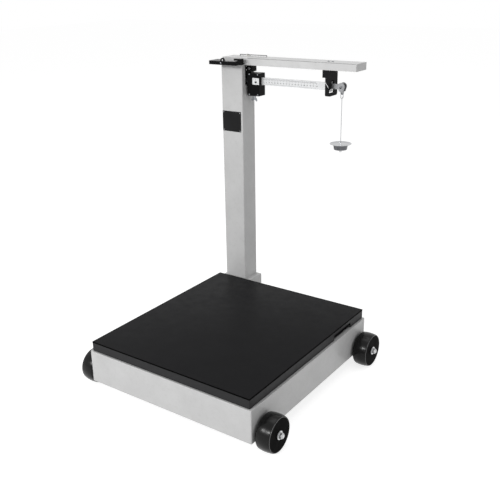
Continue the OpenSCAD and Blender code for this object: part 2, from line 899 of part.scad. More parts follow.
// Graduated bar with a thin raised edge along its top and bottom
module beam_bar() {
    color("whitesmoke") translate([0, beam_y, beam_z]) difference() {
        translate([bar_left, -beam_t/2, -beam_h/2]) cube([bar_right - bar_left, beam_t, beam_h]);
        for (y = [-1, 1])
            translate([(bar_left + bar_right)/2, y*beam_t/2, 0]) plate_xz(1.6)
                square([bar_right - bar_left - 6, beam_h - 6], center = true);
    }
}

// Cast end of the beam that carries the fulcrum and load knives and the balance stud
module beam_butt() {
    color("#3c3d3f") difference() {
        translate([0, beam_y, 0]) {
            plate_xz(beam_t)
                polygon([[load_x - 13, pivot_z - 9], [load_x - 8, pivot_z - 12],
                         [fulcrum_x, pivot_z - 15], [bar_left, beam_z - beam_h/2],
                         [bar_left, beam_z + beam_h/2], [fulcrum_x - 4, pivot_z + 12],
                         [load_x, pivot_z + 8], [load_x - 13, pivot_z + 6]]);
            translate([load_x - 45, 0, pivot_z - 1.5]) rod_x(5, 40);
        }
        beam_pivots();
    }
}

// Knife edges of the beam: load, fulcrum and tip
module beam_pivots() {
    color("gray") {
        translate([load_x, beam_y, pivot_z]) knife_y(24);
        translate([fulcrum_x, beam_y, pivot_z]) knife_y(27);
        translate([tip_x, beam_y, pivot_z]) knife_y(21, 6);
    }
}

// Weight on the stud behind the load knife, for setting zero
module balance_ball() {
    color("goldenrod") translate([load_x - 36, beam_y, pivot_z - 1.5]) rotate([0, 90, 0])
        rotate_extrude($fn = 64) difference() {
            union() {
                translate([2.55, 0]) square([8.45, 12]);
                translate([5, 2.5]) square([8, 7]);
            }
        }
}

// Light sleeve on the end of the bar, inside the trig loop
module beam_sleeve() {
    color("whitesmoke") translate([bar_right, beam_y - 6, beam_z - sleeve_h/2])
        cube([sleeve_l, 12, sleeve_h]);
}

// Cast nose of the beam, which carries the tip knife
module beam_nose() {
    x0 = bar_right + sleeve_l;
    color("darkgray") difference() {
        translate([0, beam_y, 0]) plate_xz(beam_t) {
            polygon([[x0, pivot_z - 8], [x0 + 22, pivot_z - 9], [tip_x, pivot_z - 8],
                     [tip_x, pivot_z + 8], [x0 + 22, pivot_z + 9], [x0, pivot_z + 9.5]]);
            translate([tip_x, pivot_z]) circle(8);
        }
        beam_pivots();
    }
}

// Poise

poise_mid = poise_x;
lock_x = poise_mid - 8;

// Outline of the poise plates, with a small radius at each corner
module poise_outline() {
    rounded_rect(poise_w, poise_h, 2.5);
}

// Front plate with the reading window
module poise_front() {
    color("#19191a") translate([poise_mid, beam_y - poise_d/2 + plate_t/2, poise_z])
        plate_xz(plate_t) difference() {
            poise_outline();
            translate([window_x, beam_z - poise_z]) square([window_w, window_h], center = true);
            for (x = [-1, 1], z = [-1, 1])
                translate([x*plate_screw_x, z*plate_screw_z]) circle(2.1);
        }
}

// Back plate
module poise_back() {
    color("#19191a") translate([poise_mid, beam_y + poise_d/2 - plate_t/2, poise_z])
        plate_xz(plate_t) difference() {
            poise_outline();
            for (x = [-1, 1], z = [-1, 1])
                translate([x*plate_screw_x, z*plate_screw_z]) circle(2.1);
        }
}

// Cast body between the plates, open for the beam, with the lock screw in its floor
module poise_body() {
    t = poise_d - 2*plate_t;
    channel = beam_h + 1.4;
    color("#19191a") difference() {
        translate([poise_mid, beam_y, poise_z]) plate_xz(t) poise_outline();
        translate([poise_mid - poise_w/2 - cut, beam_y - beam_t/2 - 0.6, beam_z - channel/2])
            cube([poise_w + 2*cut, beam_t + 1.2, channel]);
        translate([poise_mid - poise_w/2 - cut, beam_y - t/2 - cut, beam_z - channel/2 + 2])
            cube([poise_w + 2*cut, t/2 + cut, channel - 4]);
        translate([lock_x, beam_y, beam_z - channel/2 - 12]) cylinder(d = 12.1, h = 16);
        translate([lock_x, beam_y, poise_z - poise_h/2 - cut])
            cylinder(d = 6.1, h = poise_h/2);
        for (x = [-1, 1], z = [-1, 1], y = [-1, 1])
            translate([poise_mid + x*plate_screw_x, beam_y + y*t/2, poise_z + z*plate_screw_z])
                rod_y(4.2, 16);
    }
}

// Screws that hold both plates on the body
module poise_screws() {
    color("silver") for (x = [-1, 1], z = [-1, 1], y = [-1, 1])
        translate([poise_mid + x*plate_screw_x, beam_y, poise_z + z*plate_screw_z]) {
            translate([0, y*(poise_d/2 - 5.5), 0]) rod_y(4, 11);
            translate([0, y*(poise_d/2 + 0.8), 0]) rod_y(7, 1.6);
        }
}

lock_z = poise_z - poise_h/2;

// Wing of the thumb screw: X points out from the axis and Y is the height
module lock_wing() {
    polygon([[2, lock_z - 6.8], [5, lock_z - 6.8], [11, lock_z - 14], [12, lock_z - 21],
             [9, lock_z - 23], [2, lock_z - 16]]);
}

// Wing screw held in the floor of the poise
module lock_screw() {
    color("lightgray") translate([lock_x, beam_y, 0]) {
        translate([0, 0, lock_z - 8]) cylinder(d = 6, h = beam_z - beam_h/2 - lock_z + 2.5);
        translate([0, 0, lock_z - 6.4]) cylinder(d = 12, h = 6.1);
        translate([0, 0, lock_z - 17]) cylinder(d = 8, h = 11);
        for (a = [0, 180])
            rotate([0, 0, a]) plate_xz(2.6) lock_wing();
    }
}

// Shoe on the screw's thread, which is pressed up against the beam
module lock_shoe() {
    color("goldenrod") translate([lock_x, beam_y, beam_z - beam_h/2 - 10.4]) difference() {
        cylinder(d = 12, h = 8.6);
        translate([0, 0, -cut]) cylinder(d = 6.1, h = 6.5);
    }
}

// Pendant and weight pan

// Outline of the pendant cheeks: round at the pivot and drawn in at the eye
module pendant_outline() {
    translate([0, 2]) circle(12.5);
    polygon([[-12, -1], [-4.5, -eye_drop - 3], [4.5, -eye_drop - 3], [12.2, -1]]);
    translate([0, -eye_drop]) circle(5.5);
}

// Pendant: two cheeks over the tip knife, joined to a tab with the eye of the hanger
module pendant() {
    color("darkgray") translate([tip_x, beam_y, pivot_z]) difference() {
        plate_xz(20) pendant_outline();
        translate([-20, -6, -13]) cube([40, 12, 40]);
        for (y = [-1, 1])
            translate([-20, y > 0 ? 2 : -12, -40]) cube([40, 10, 40 - 15]);
        plate_xz(30) intersection() {
            rotate(180) vee_space(6, 0.5);
            translate([-5, -6]) square([10, 16]);
        }
        translate([0, 0, -eye_drop]) rod_y(5, 30);
    }
}

eye_r = 9;

// Hanger rod with a round eye at its top, which hangs in the tab of the pendant
module hanger_rod() {
    low = pan_z - cup_h - 6;
    color("lightgray") {
        translate([tip_x, beam_y, eye_z - eye_r]) rotate([0, 90, 0])
            rotate_extrude($fn = 64) translate([eye_r, 0]) circle(d = rod_d + 0.2, $fn = 24);
        translate([tip_x, beam_y, low]) cylinder(d = rod_d, h = eye_z - 2*eye_r - low);
    }
}

// Slightly dished plate that loose weights are laid on
module pan_plate() {
    color("gray") translate([tip_x, beam_y, pan_z]) rotate_extrude($fn = 96)
        polygon([[rod_d/2, 0], [cup_d/2, 0], [pan_d/2, 2.2], [pan_d/2, 3.6],
                 [cup_d/2, 1.6], [rod_d/2, 1.6]]);
}

// Cup under the plate, which holds the loose shot that sets the weight of the pan
module pan_cup() {
    color("dimgray") translate([tip_x, beam_y, pan_z - cup_h]) rotate_extrude($fn = 96)
        polygon([[rod_d/2, 0], [cup_d/2 - 3, 0], [cup_d/2, cup_h], [cup_d/2 - 1.6, cup_h],
                 [cup_d/2 - 4.4, 1.6], [rod_d/2, 1.6]]);
}

// Nut on the end of the rod
module pan_nut() {
    color("silver") translate([tip_x, beam_y, pan_z - cup_h - 10]) difference() {
        cylinder(d = 9, h = 9.8);
        translate([0, 0, 3.9]) cylinder(d = rod_d, h = 10);
    }
}

base_frame();
corner_plates();
lever_stands();
stand_bearings();
stand_bolts();
axle_bolts();
axle_nuts();
axle_washers();
wheel_front_left();
wheel_front_right();
wheel_rear_left();
wheel_rear_right();
bush_front_left();
bush_front_right();
bush_rear_left();
bush_rear_right();
deck_plate();
deck_ribs();
deck_feet();
main_lever();
main_lever_pivots();
short_lever();
short_lever_pivots();
centre_link();
steelyard_rod();
rod_stirrups();
column_foot();
foot_bolts();
column();
column_socket();
column_cap();
shelf_tube();
shelf_end_cap();
shelf_rail();
rail_tab();
weight_rack();
rack_screw();
beam_stand();
beam_bearings();
stand_screws();
trig_loop();
trig_screws();
beam_bar();
beam_butt();
beam_nose();
beam_sleeve();
beam_pivots();
balance_ball();
poise_front();
poise_body();
poise_back();
poise_screws();
lock_screw();
lock_shoe();
pendant();
hanger_rod();
pan_plate();
pan_cup();
pan_nut();
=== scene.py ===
"""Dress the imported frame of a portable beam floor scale.

The CAD nodes keep their shapes and get painted, plated, cast and moulded finishes. The classes
below add what is too fine for the CAD: the engraved scales on the beam, the poise's window plate
and end guards, chamfered nuts and slotted screws, the plate on the column, the deck's top sheet
and edge strip, and the trim of the wheels, the shelf, the rack and the stand.
The scene is in metres, in the CAD frame: +X along the beam, +Y to the back, +Z up. The sizes of
the parts are in millimetres.
"""

import logging
import math
from abc import ABC, abstractmethod
from dataclasses import dataclass, field
from enum import Enum

import bmesh
import bpy
from mathutils import Matrix, Vector


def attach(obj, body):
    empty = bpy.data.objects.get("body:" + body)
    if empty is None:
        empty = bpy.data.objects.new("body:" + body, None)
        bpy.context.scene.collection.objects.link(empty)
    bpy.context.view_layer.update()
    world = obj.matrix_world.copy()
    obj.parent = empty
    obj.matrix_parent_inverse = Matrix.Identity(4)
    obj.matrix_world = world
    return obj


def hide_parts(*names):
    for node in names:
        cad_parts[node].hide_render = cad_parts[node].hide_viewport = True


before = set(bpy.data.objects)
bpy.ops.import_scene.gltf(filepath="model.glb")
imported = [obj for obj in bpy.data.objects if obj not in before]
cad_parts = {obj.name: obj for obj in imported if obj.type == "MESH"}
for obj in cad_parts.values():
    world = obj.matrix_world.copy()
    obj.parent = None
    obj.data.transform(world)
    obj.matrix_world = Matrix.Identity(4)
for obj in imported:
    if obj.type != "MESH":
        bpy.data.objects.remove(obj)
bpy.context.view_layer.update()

logging.basicConfig(level=logging.INFO, format="%(message)s")
log = logging.getLogger("floor_scale")

Pair = tuple[float, float]
Triple = tuple[float, float, float]
# A box's least and its greatest corner
Box = tuple[Triple, Triple]
Colour = tuple[float, float, float, float]
BMesh = bmesh.types.BMesh
Socket = bpy.types.NodeSocket
Tree = bpy.types.NodeTree
# A shape, and where its copies go
Stamp = tuple[BMesh, list[Matrix]]

MM = 0.001
# The place of a shape that was built where it belongs
HERE = [Matrix.Identity(4)]
# Points closer than this are one point, in metres
MERGE = 0.000001
# Edges that bend more than this stay sharp
SMOOTH_DEG = 35.0
# Width of the photograph, and of the camera's sensor
PHOTO_PX = 500
SENSOR_MM = 36.0
WHITE: Colour = (1.0, 1.0, 1.0, 1.0)
# Most of a noise texture's values lie between these
NOISE_SPAN: Pair = (0.3, 0.7)
# How far smudges change the roughness, as shares of it
SMUDGE_SPAN: Pair = (0.85, 1.15)
# Wear: how much wider than the soft edge it is, and the cosines of the bends at which it starts
# and is full
WEAR_WIDTH = 1.6
WEAR_BENDS: Pair = (0.995, 0.93)
# Chips: the noise values at which they start and are full, and how far wear lowers them
CHIP_SPAN: Pair = (0.62, 0.72)
CHIP_DROP = 0.3
# Height of a figure as a share of its font size
FIGURE_SHARE = 0.7
# Outline of a pan head as shares of its width and its rise, and the width and depth of its slot
PAN_HEAD = ((0.0, 1.0), (0.25, 0.98), (0.4, 0.84), (0.47, 0.6), (0.5, 0.25), (0.48, 0.0))
SLOT_SHARES = (0.16, 0.5)
# Where the axles lie, and where the poise's pointer stands at zero, in millimetres
AXLE_Z = 59.5
FRONT_AXLE_Y, REAR_AXLE_Y = -360.25, 250.75
ZERO_X = -174.6
# Outlines of the small round heads, as radius and height in millimetres, and their steps
HEAD_STEPS, RING_STEPS = 20, 32
RIVET_HEAD = [(0, 1.2), (1.0, 1.05), (1.6, 0.5), (1.75, 0), (1.0, -0.6), (0, -0.6)]
COVER_SCREW_HEAD = [(0, 0.9), (1.2, 0.8), (2.0, 0.3), (2.1, -0.3), (0, -0.3)]
BEARING_RING = [
    (2.6, -0.3), (2.6, 0.5), (3.1, 0.8), (3.7, 0.8), (4.2, 0.5), (4.2, -0.3), (2.6, -0.3),
]


# Small tools


def linear(hex_code: str) -> Colour:
    """Turn an sRGB hex colour into linear light.

    Args:
        hex_code: six hex digits, such as "c8c9c8".

    Returns:
        Red, green, blue and an alpha of 1.
    """
    shares = [int(hex_code[i:i + 2], 16)/255 for i in (0, 2, 4)]
    light = [s/12.92 if s <= 0.04045 else ((s + 0.055)/1.055)**2.4 for s in shares]
    return (light[0], light[1], light[2], 1.0)


def add_node(
    tree: Tree, kind: str, settings: dict[str | int, object] | None = None,
    links: dict[str | int, Socket] | None = None,
) -> bpy.types.Node:
    """Add a node to a tree, with its settings and its links.

    Args:
        tree: the node tree of a material or of the world.
        kind: the node's type name.
        settings: values by input name or number, or by the node's own attribute.
        links: sockets to link from, by the input they go to.

    Returns:
        The new node.
    """
    node = tree.nodes.new(kind)
    for key, value in (settings or {}).items():
        if isinstance(key, str) and key not in node.inputs:
            setattr(node, key, value)
        else:
            node.inputs[key].default_value = value
    for key, source in (links or {}).items():
        tree.links.new(source, node.inputs[key])
    return node


def bevelled_box(low: Triple, high: Triple, radius: float = 0.0) -> BMesh:
    """Make a box with rounded edges.

    Args:
        low: its least x, y and z in millimetres.
        high: its greatest x, y and z.
        radius: how far its edges are rounded.

    Returns:
        A new bmesh.
    """
    box = bmesh.new()
    first, last = Vector(low)*MM, Vector(high)*MM
    where = Matrix.Translation((first + last)/2) @ Matrix.Diagonal((*(last - first), 1.0))
    bmesh.ops.create_cube(box, size=1.0, matrix=where)
    if radius > 0:
        bmesh.ops.bevel(
            box, geom=box.edges[:], offset=radius*MM, affect="EDGES", segments=3, profile=0.5,
            material=-1,
        )
    return box


def turned(profile: list[Pair], steps: int = 48) -> BMesh:
    """Spin a profile round the Z axis.

    Args:
        profile: points of (radius, height) in millimetres, from one end to the other.
        steps: how many faces go round.

    Returns:
        A new bmesh.
    """
    shape = bmesh.new()
    verts = [shape.verts.new((radius*MM, 0.0, height*MM)) for radius, height in profile]
    edges = [shape.edges.new(pair) for pair in zip(verts, verts[1:])]
    bmesh.ops.spin(
        shape, geom=verts + edges, cent=(0, 0, 0), axis=(0, 0, 1), angle=math.tau,
        steps=steps, use_merge=True,
    )
    bmesh.ops.remove_doubles(shape, verts=shape.verts, dist=MERGE)
    bmesh.ops.recalc_face_normals(shape, faces=shape.faces)
    return shape


def cut_off(shape: BMesh, point: Vector, direction: Vector) -> None:
    """Cut away what lies beyond a plane and close the cut.

    Args:
        shape: a closed bmesh.
        point: a point on the plane.
        direction: the side that goes.
    """
    geom = [*shape.verts, *shape.edges, *shape.faces]
    bmesh.ops.bisect_plane(
        shape, geom=geom, dist=MERGE/10, plane_co=point, plane_no=direction, clear_outer=True,
    )
    rim = [edge for edge in shape.edges if len(edge.link_faces) == 1]
    bmesh.ops.edgeloop_fill(shape, edges=rim)


def framed_plate(
    outer: Pair, opening: Pair, thick: float, corner: float, shift: Pair = (0.0, 0.0),
) -> BMesh:
    """Make a flat plate with one opening, from a grid of nine faces.

    Args:
        outer: full width and height in millimetres.
        opening: width and height of the opening.
        thick: thickness, up from the local XY plane.
        corner: radius of the outer corners.
        shift: where the middle of the opening lies.

    Returns:
        A new bmesh.
    """
    plate = bmesh.new()
    bmesh.ops.create_grid(plate, x_segments=3, y_segments=3, size=1.0)
    for vert in plate.verts:
        for axis in (0, 1):
            inside = abs(vert.co[axis]) < 0.5
            half = (opening if inside else outer)[axis]/2*MM
            vert.co[axis] = math.copysign(half, vert.co[axis]) + inside*shift[axis]*MM
    plate.faces.ensure_lookup_table()
    centre = min(plate.faces, key=lambda face: (
        face.calc_center_median() - Vector((*shift, 0.0))*MM).length)
    bmesh.ops.delete(plate, geom=[centre], context="FACES")
    made = bmesh.ops.extrude_face_region(plate, geom=plate.faces[:])
    top = [item for item in made["geom"] if isinstance(item, bmesh.types.BMVert)]
    bmesh.ops.translate(plate, verts=top, vec=(0, 0, thick*MM))
    upright = [
        edge for edge in plate.edges
        if abs(edge.verts[0].co.z - edge.verts[1].co.z) > MERGE
        and all(abs(abs(edge.verts[0].co[axis]) - outer[axis]/2*MM) < MERGE for axis in (0, 1))
    ]
    bmesh.ops.bevel(
        plate, geom=upright, offset=corner*MM, affect="EDGES", segments=6, profile=0.5,
        material=-1,
    )
    return plate


def lettering(words: str, height: float, thick: float) -> BMesh:
    """Make raised figures, centred on the local origin and facing local Z.

    Args:
        words: what they say.
        height: how tall a figure is, in millimetres.
        thick: how far they stand up.

    Returns:
        A new bmesh.
    """
    curve = bpy.data.curves.new("figures", "FONT")
    curve.body = words
    curve.size = height*MM/FIGURE_SHARE
    curve.align_x = "CENTER"
    curve.align_y = "CENTER"
    curve.extrude = thick*MM/2
    curve.resolution_u = 2
    holder = bpy.data.objects.new("figures", curve)
    data = bpy.data.meshes.new_from_object(holder)
    shape = bmesh.new()
    shape.from_mesh(data)
    bpy.data.objects.remove(holder)
    bpy.data.curves.remove(curve)
    bpy.data.meshes.remove(data)
    bmesh.ops.remove_doubles(shape, verts=shape.verts, dist=MERGE)
    return shape


class Face(Enum):
    """Which way a detail looks: each turns local Z to that side."""

    FRONT = Matrix.Rotation(math.pi/2, 4, "X")
    BACK = Matrix.Rotation(math.pi, 4, "Z") @ Matrix.Rotation(math.pi/2, 4, "X")
    LEFT = Vector((-1, 0, 0)).to_track_quat("Z", "Y").to_matrix().to_4x4()
    RIGHT = Vector((1, 0, 0)).to_track_quat("Z", "Y").to_matrix().to_4x4()
    UP = Matrix.Identity(4)

    def at(self, x: float, y: float, z: float) -> Matrix:
        """Give the place of a detail.

        Args:
            x: how far right it lies, in millimetres.
            y: how far back.
            z: how far up.

        Returns:
            The matrix, in metres.
        """
        return Matrix.Translation(Vector((x, y, z))*MM) @ self.value


# Finishes


@dataclass(frozen=True)
class Canvas:
    """The nodes of one material, and the coordinates that its patterns lie in."""

    tree: Tree
    coords: Socket

    def noise(
        self, cell_mm: float, detail: float, roughness: float = 0.5, distortion: float = 0.0,
    ) -> Socket:
        """Add a noise pattern.

        Args:
            cell_mm: how large one cell of it is.
            detail: how many finer layers it has.
            roughness: how strong they are.
            distortion: how far it is drawn out of shape.

        Returns:
            Its value.
        """
        return add_node(self.tree, "ShaderNodeTexNoise", {
            "Scale": 1.0/(cell_mm*MM), "Detail": detail, "Roughness": roughness,
            "Distortion": distortion,
        }, {"Vector": self.coords}).outputs["Fac"]

    def remap(self, value: Socket, start: Pair, end: Pair = (0.0, 1.0)) -> Socket:
        """Stretch a value from one range to another, and clamp it.

        Args:
            value: what is stretched.
            start: the range that it comes in.
            end: the range that it leaves in.

        Returns:
            The stretched value.
        """
        return add_node(self.tree, "ShaderNodeMapRange", {
            "From Min": start[0], "From Max": start[1], "To Min": end[0], "To Max": end[1],
        }, {"Value": value}).outputs["Result"]

    def overlay(self, share: Socket, under: Socket, over: str) -> Socket:
        """Lay one colour over another.

        Args:
            share: how much of the upper colour shows, from 0 to 1.
            under: the lower colour.
            over: the upper colour's hex code.

        Returns:
            The mixed colour.
        """
        return add_node(self.tree, "ShaderNodeMix", {"data_type": "RGBA", 7: linear(over)}, {
            0: share, 6: under,
        }).outputs[2]

    def rounded(self, radius_mm: float) -> Socket:
        """Give the surface's direction, with its edges rounded.

        Args:
            radius_mm: how far.

        Returns:
            The normal.
        """
        return add_node(self.tree, "ShaderNodeBevel", {
            "samples": 4, "Radius": radius_mm*MM,
        }).outputs["Normal"]


@dataclass(frozen=True)
class Finish:
    """What all finishes share: colour, gloss, and how uneven the surface is.

    Sizes are in millimetres. patch is the slow change of shade over a sheet or a casting, grain
    the fine relief that the making left, edge how round a sharp edge looks, smudge what changes
    the gloss, and chip what breaks up the rubbed edges.
    """

    name: str
    colour: str
    roughness: float
    metallic: float = 0.0
    patch_mm: float = 90.0
    patch_contrast: float = 0.05
    grain_mm: float = 1.6
    grain_depth_mm: float = 0.03
    relief_strength: float = 1.0
    edge_mm: float = 0.7
    coat: float = 0.0
    coat_roughness: float = 0.12
    specular: float = 0.5
    smudge_mm: float = 35.0
    chip_mm: float = 9.0

    def material(self) -> bpy.types.Material:
        """Build the material, with its whole node tree.

        Returns:
            The new material.
        """
        made = bpy.data.materials.new(self.name)
        made.use_nodes = True
        tree = made.node_tree
        tree.nodes.clear()
        canvas = Canvas(tree, add_node(tree, "ShaderNodeTexCoord").outputs["Object"])
        shader = add_node(tree, "ShaderNodeBsdfPrincipled", {
            "Metallic": self.metallic, "Coat Weight": self.coat,
            "Coat Roughness": self.coat_roughness, "Specular IOR Level": self.specular,
        }, {
            "Base Color": self.shade(canvas), "Roughness": self.gloss(canvas),
            "Normal": self.relief(canvas),
        })
        add_node(tree, "ShaderNodeOutputMaterial", {}, {"Surface": shader.outputs["BSDF"]})
        return made

    def shade(self, canvas: Canvas) -> Socket:
        """Give the colour, a little lighter and darker in slow patches.

        Args:
            canvas: the material's nodes.

        Returns:
            The colour.
        """
        patches = canvas.noise(self.patch_mm, detail=4.0, roughness=0.6)
        span = (1.0 - self.patch_contrast, 1.0 + self.patch_contrast)
        return add_node(canvas.tree, "ShaderNodeHueSaturation", {
            "Color": linear(self.colour),
        }, {"Value": canvas.remap(patches, NOISE_SPAN, span)}).outputs["Color"]

    def gloss(self, canvas: Canvas) -> Socket:
        """Give the roughness, which smudges and handling vary.

        Args:
            canvas: the material's nodes.

        Returns:
            The roughness.
        """
        smudges = canvas.noise(self.smudge_mm, detail=5.0, roughness=0.65)
        span = (self.roughness*SMUDGE_SPAN[0], self.roughness*SMUDGE_SPAN[1])
        return canvas.remap(smudges, NOISE_SPAN, span)

    def grain(self, canvas: Canvas) -> Socket:
        """Give the height of the fine grain.

        Args:
            canvas: the material's nodes.

        Returns:
            The height.
        """
        return canvas.noise(self.grain_mm, detail=2.0)

    def relief(self, canvas: Canvas) -> Socket:
        """Give the surface its fine grain and soften its sharp edges.

        Args:
            canvas: the material's nodes.

        Returns:
            The normal.
        """
        return add_node(canvas.tree, "ShaderNodeBump", {
            "Strength": self.relief_strength, "Distance": self.grain_depth_mm*MM,
        }, {
            "Height": self.grain(canvas), "Normal": canvas.rounded(self.edge_mm),
        }).outputs["Normal"]

    def worn(self, canvas: Canvas, fresh: Socket, bare: str, amount: float) -> Socket:
        """Let another colour through where edges rub.

        Args:
            canvas: the material's nodes.
            fresh: the colour of the unworn surface.
            bare: the hex colour under it.
            amount: how much of an edge is worn, from 0 to 1.

        Returns:
            The mixed colour.
        """
        flat = add_node(canvas.tree, "ShaderNodeNewGeometry")
        bend = add_node(canvas.tree, "ShaderNodeVectorMath", {"operation": "DOT_PRODUCT"}, {
            0: canvas.rounded(self.edge_mm*WEAR_WIDTH), 1: flat.outputs["Normal"],
        })
        chips = canvas.noise(self.chip_mm, detail=6.0, roughness=0.7)
        span = (CHIP_SPAN[0] - CHIP_DROP*amount, CHIP_SPAN[1] - CHIP_DROP*amount)
        mask = add_node(canvas.tree, "ShaderNodeMath", {"operation": "MULTIPLY"}, {
            0: canvas.remap(bend.outputs["Value"], WEAR_BENDS), 1: canvas.remap(chips, span),
        })
        return canvas.overlay(mask.outputs["Value"], fresh, bare)


@dataclass(frozen=True)
class Enamel(Finish):
    """Sprayed stoving enamel on sheet steel: a satin coat with a faint orange peel.

    Specks of dust dull it, and rubbed edges show a lighter line.
    """

    wear: str = "d8d8d6"
    wear_amount: float = 0.35
    dust: str = "8c8a85"
    dust_amount: float = 0.08
    speck_mm: float = 14.0
    speck_span: Pair = (0.52, 0.8)
    speck_peak: float = 3.0

    def shade(self, canvas: Canvas) -> Socket:
        """Give the paint's colour, with dust and rubbed edges."""
        paint = super().shade(canvas)
        specks = canvas.noise(self.speck_mm, detail=8.0, roughness=0.75)
        thin = canvas.remap(specks, self.speck_span, (0.0, self.dust_amount*self.speck_peak))
        dusty = canvas.overlay(thin, paint, self.dust)
        return self.worn(canvas, dusty, self.wear, self.wear_amount)


@dataclass(frozen=True)
class GroundMetal(Finish):
    """Metal with a ground or drawn surface: fine parallel lines along one axis."""

    metallic: float = 1.0
    relief_strength: float = 0.8
    lines_mm: float = 0.9
    along: Triple = (0.04, 1.0, 1.0)

    def grain(self, canvas: Canvas) -> Socket:
        """Draw the lines as coarse as they need to be to show."""
        stretched = add_node(canvas.tree, "ShaderNodeMapping", {"Scale": self.along}, {
            "Vector": canvas.coords,
        }).outputs["Vector"]
        return Canvas(canvas.tree, stretched).noise(self.lines_mm, detail=3.0)


@dataclass(frozen=True)
class CastIron(Finish):
    """Sand-cast iron under thin primer: a pitted skin, with bare metal on its edges."""

    bare: str = "77787a"
    bare_amount: float = 0.5
    pit_mm: float = 1.9
    pit_span: Pair = (0.0, 0.35)
    pit_shade: float = 0.72

    def shade(self, canvas: Canvas) -> Socket:
        """Give the primer's colour, darker in the pits and bare on the edges."""
        primer = super().shade(canvas)
        pits = add_node(canvas.tree, "ShaderNodeTexVoronoi", {
            "Scale": 1.0/(self.pit_mm*MM),
        }, {"Vector": canvas.coords})
        pitted = add_node(canvas.tree, "ShaderNodeHueSaturation", {}, {
            "Value": canvas.remap(
                pits.outputs["Distance"], self.pit_span, (self.pit_shade, 1.0)),
            "Color": primer,
        })
        return self.worn(canvas, pitted.outputs["Color"], self.bare, self.bare_amount)


@dataclass(frozen=True)
class Moulded(Finish):
    """Moulded rubber or plastic: a fine matt grain, greyer where it is scuffed."""

    scuff: str = "2b2a29"
    scuff_amount: float = 0.2
    streak_mm: float = 22.0
    streak_span: Pair = (0.55, 0.8)

    def shade(self, canvas: Canvas) -> Socket:
        """Give the colour, with scuffs in streaks."""
        clean = super().shade(canvas)
        streaks = canvas.noise(self.streak_mm, detail=9.0, roughness=0.8, distortion=0.6)
        scuffed = canvas.remap(streaks, self.streak_span, (0.0, self.scuff_amount))
        return canvas.overlay(scuffed, clean, self.scuff)


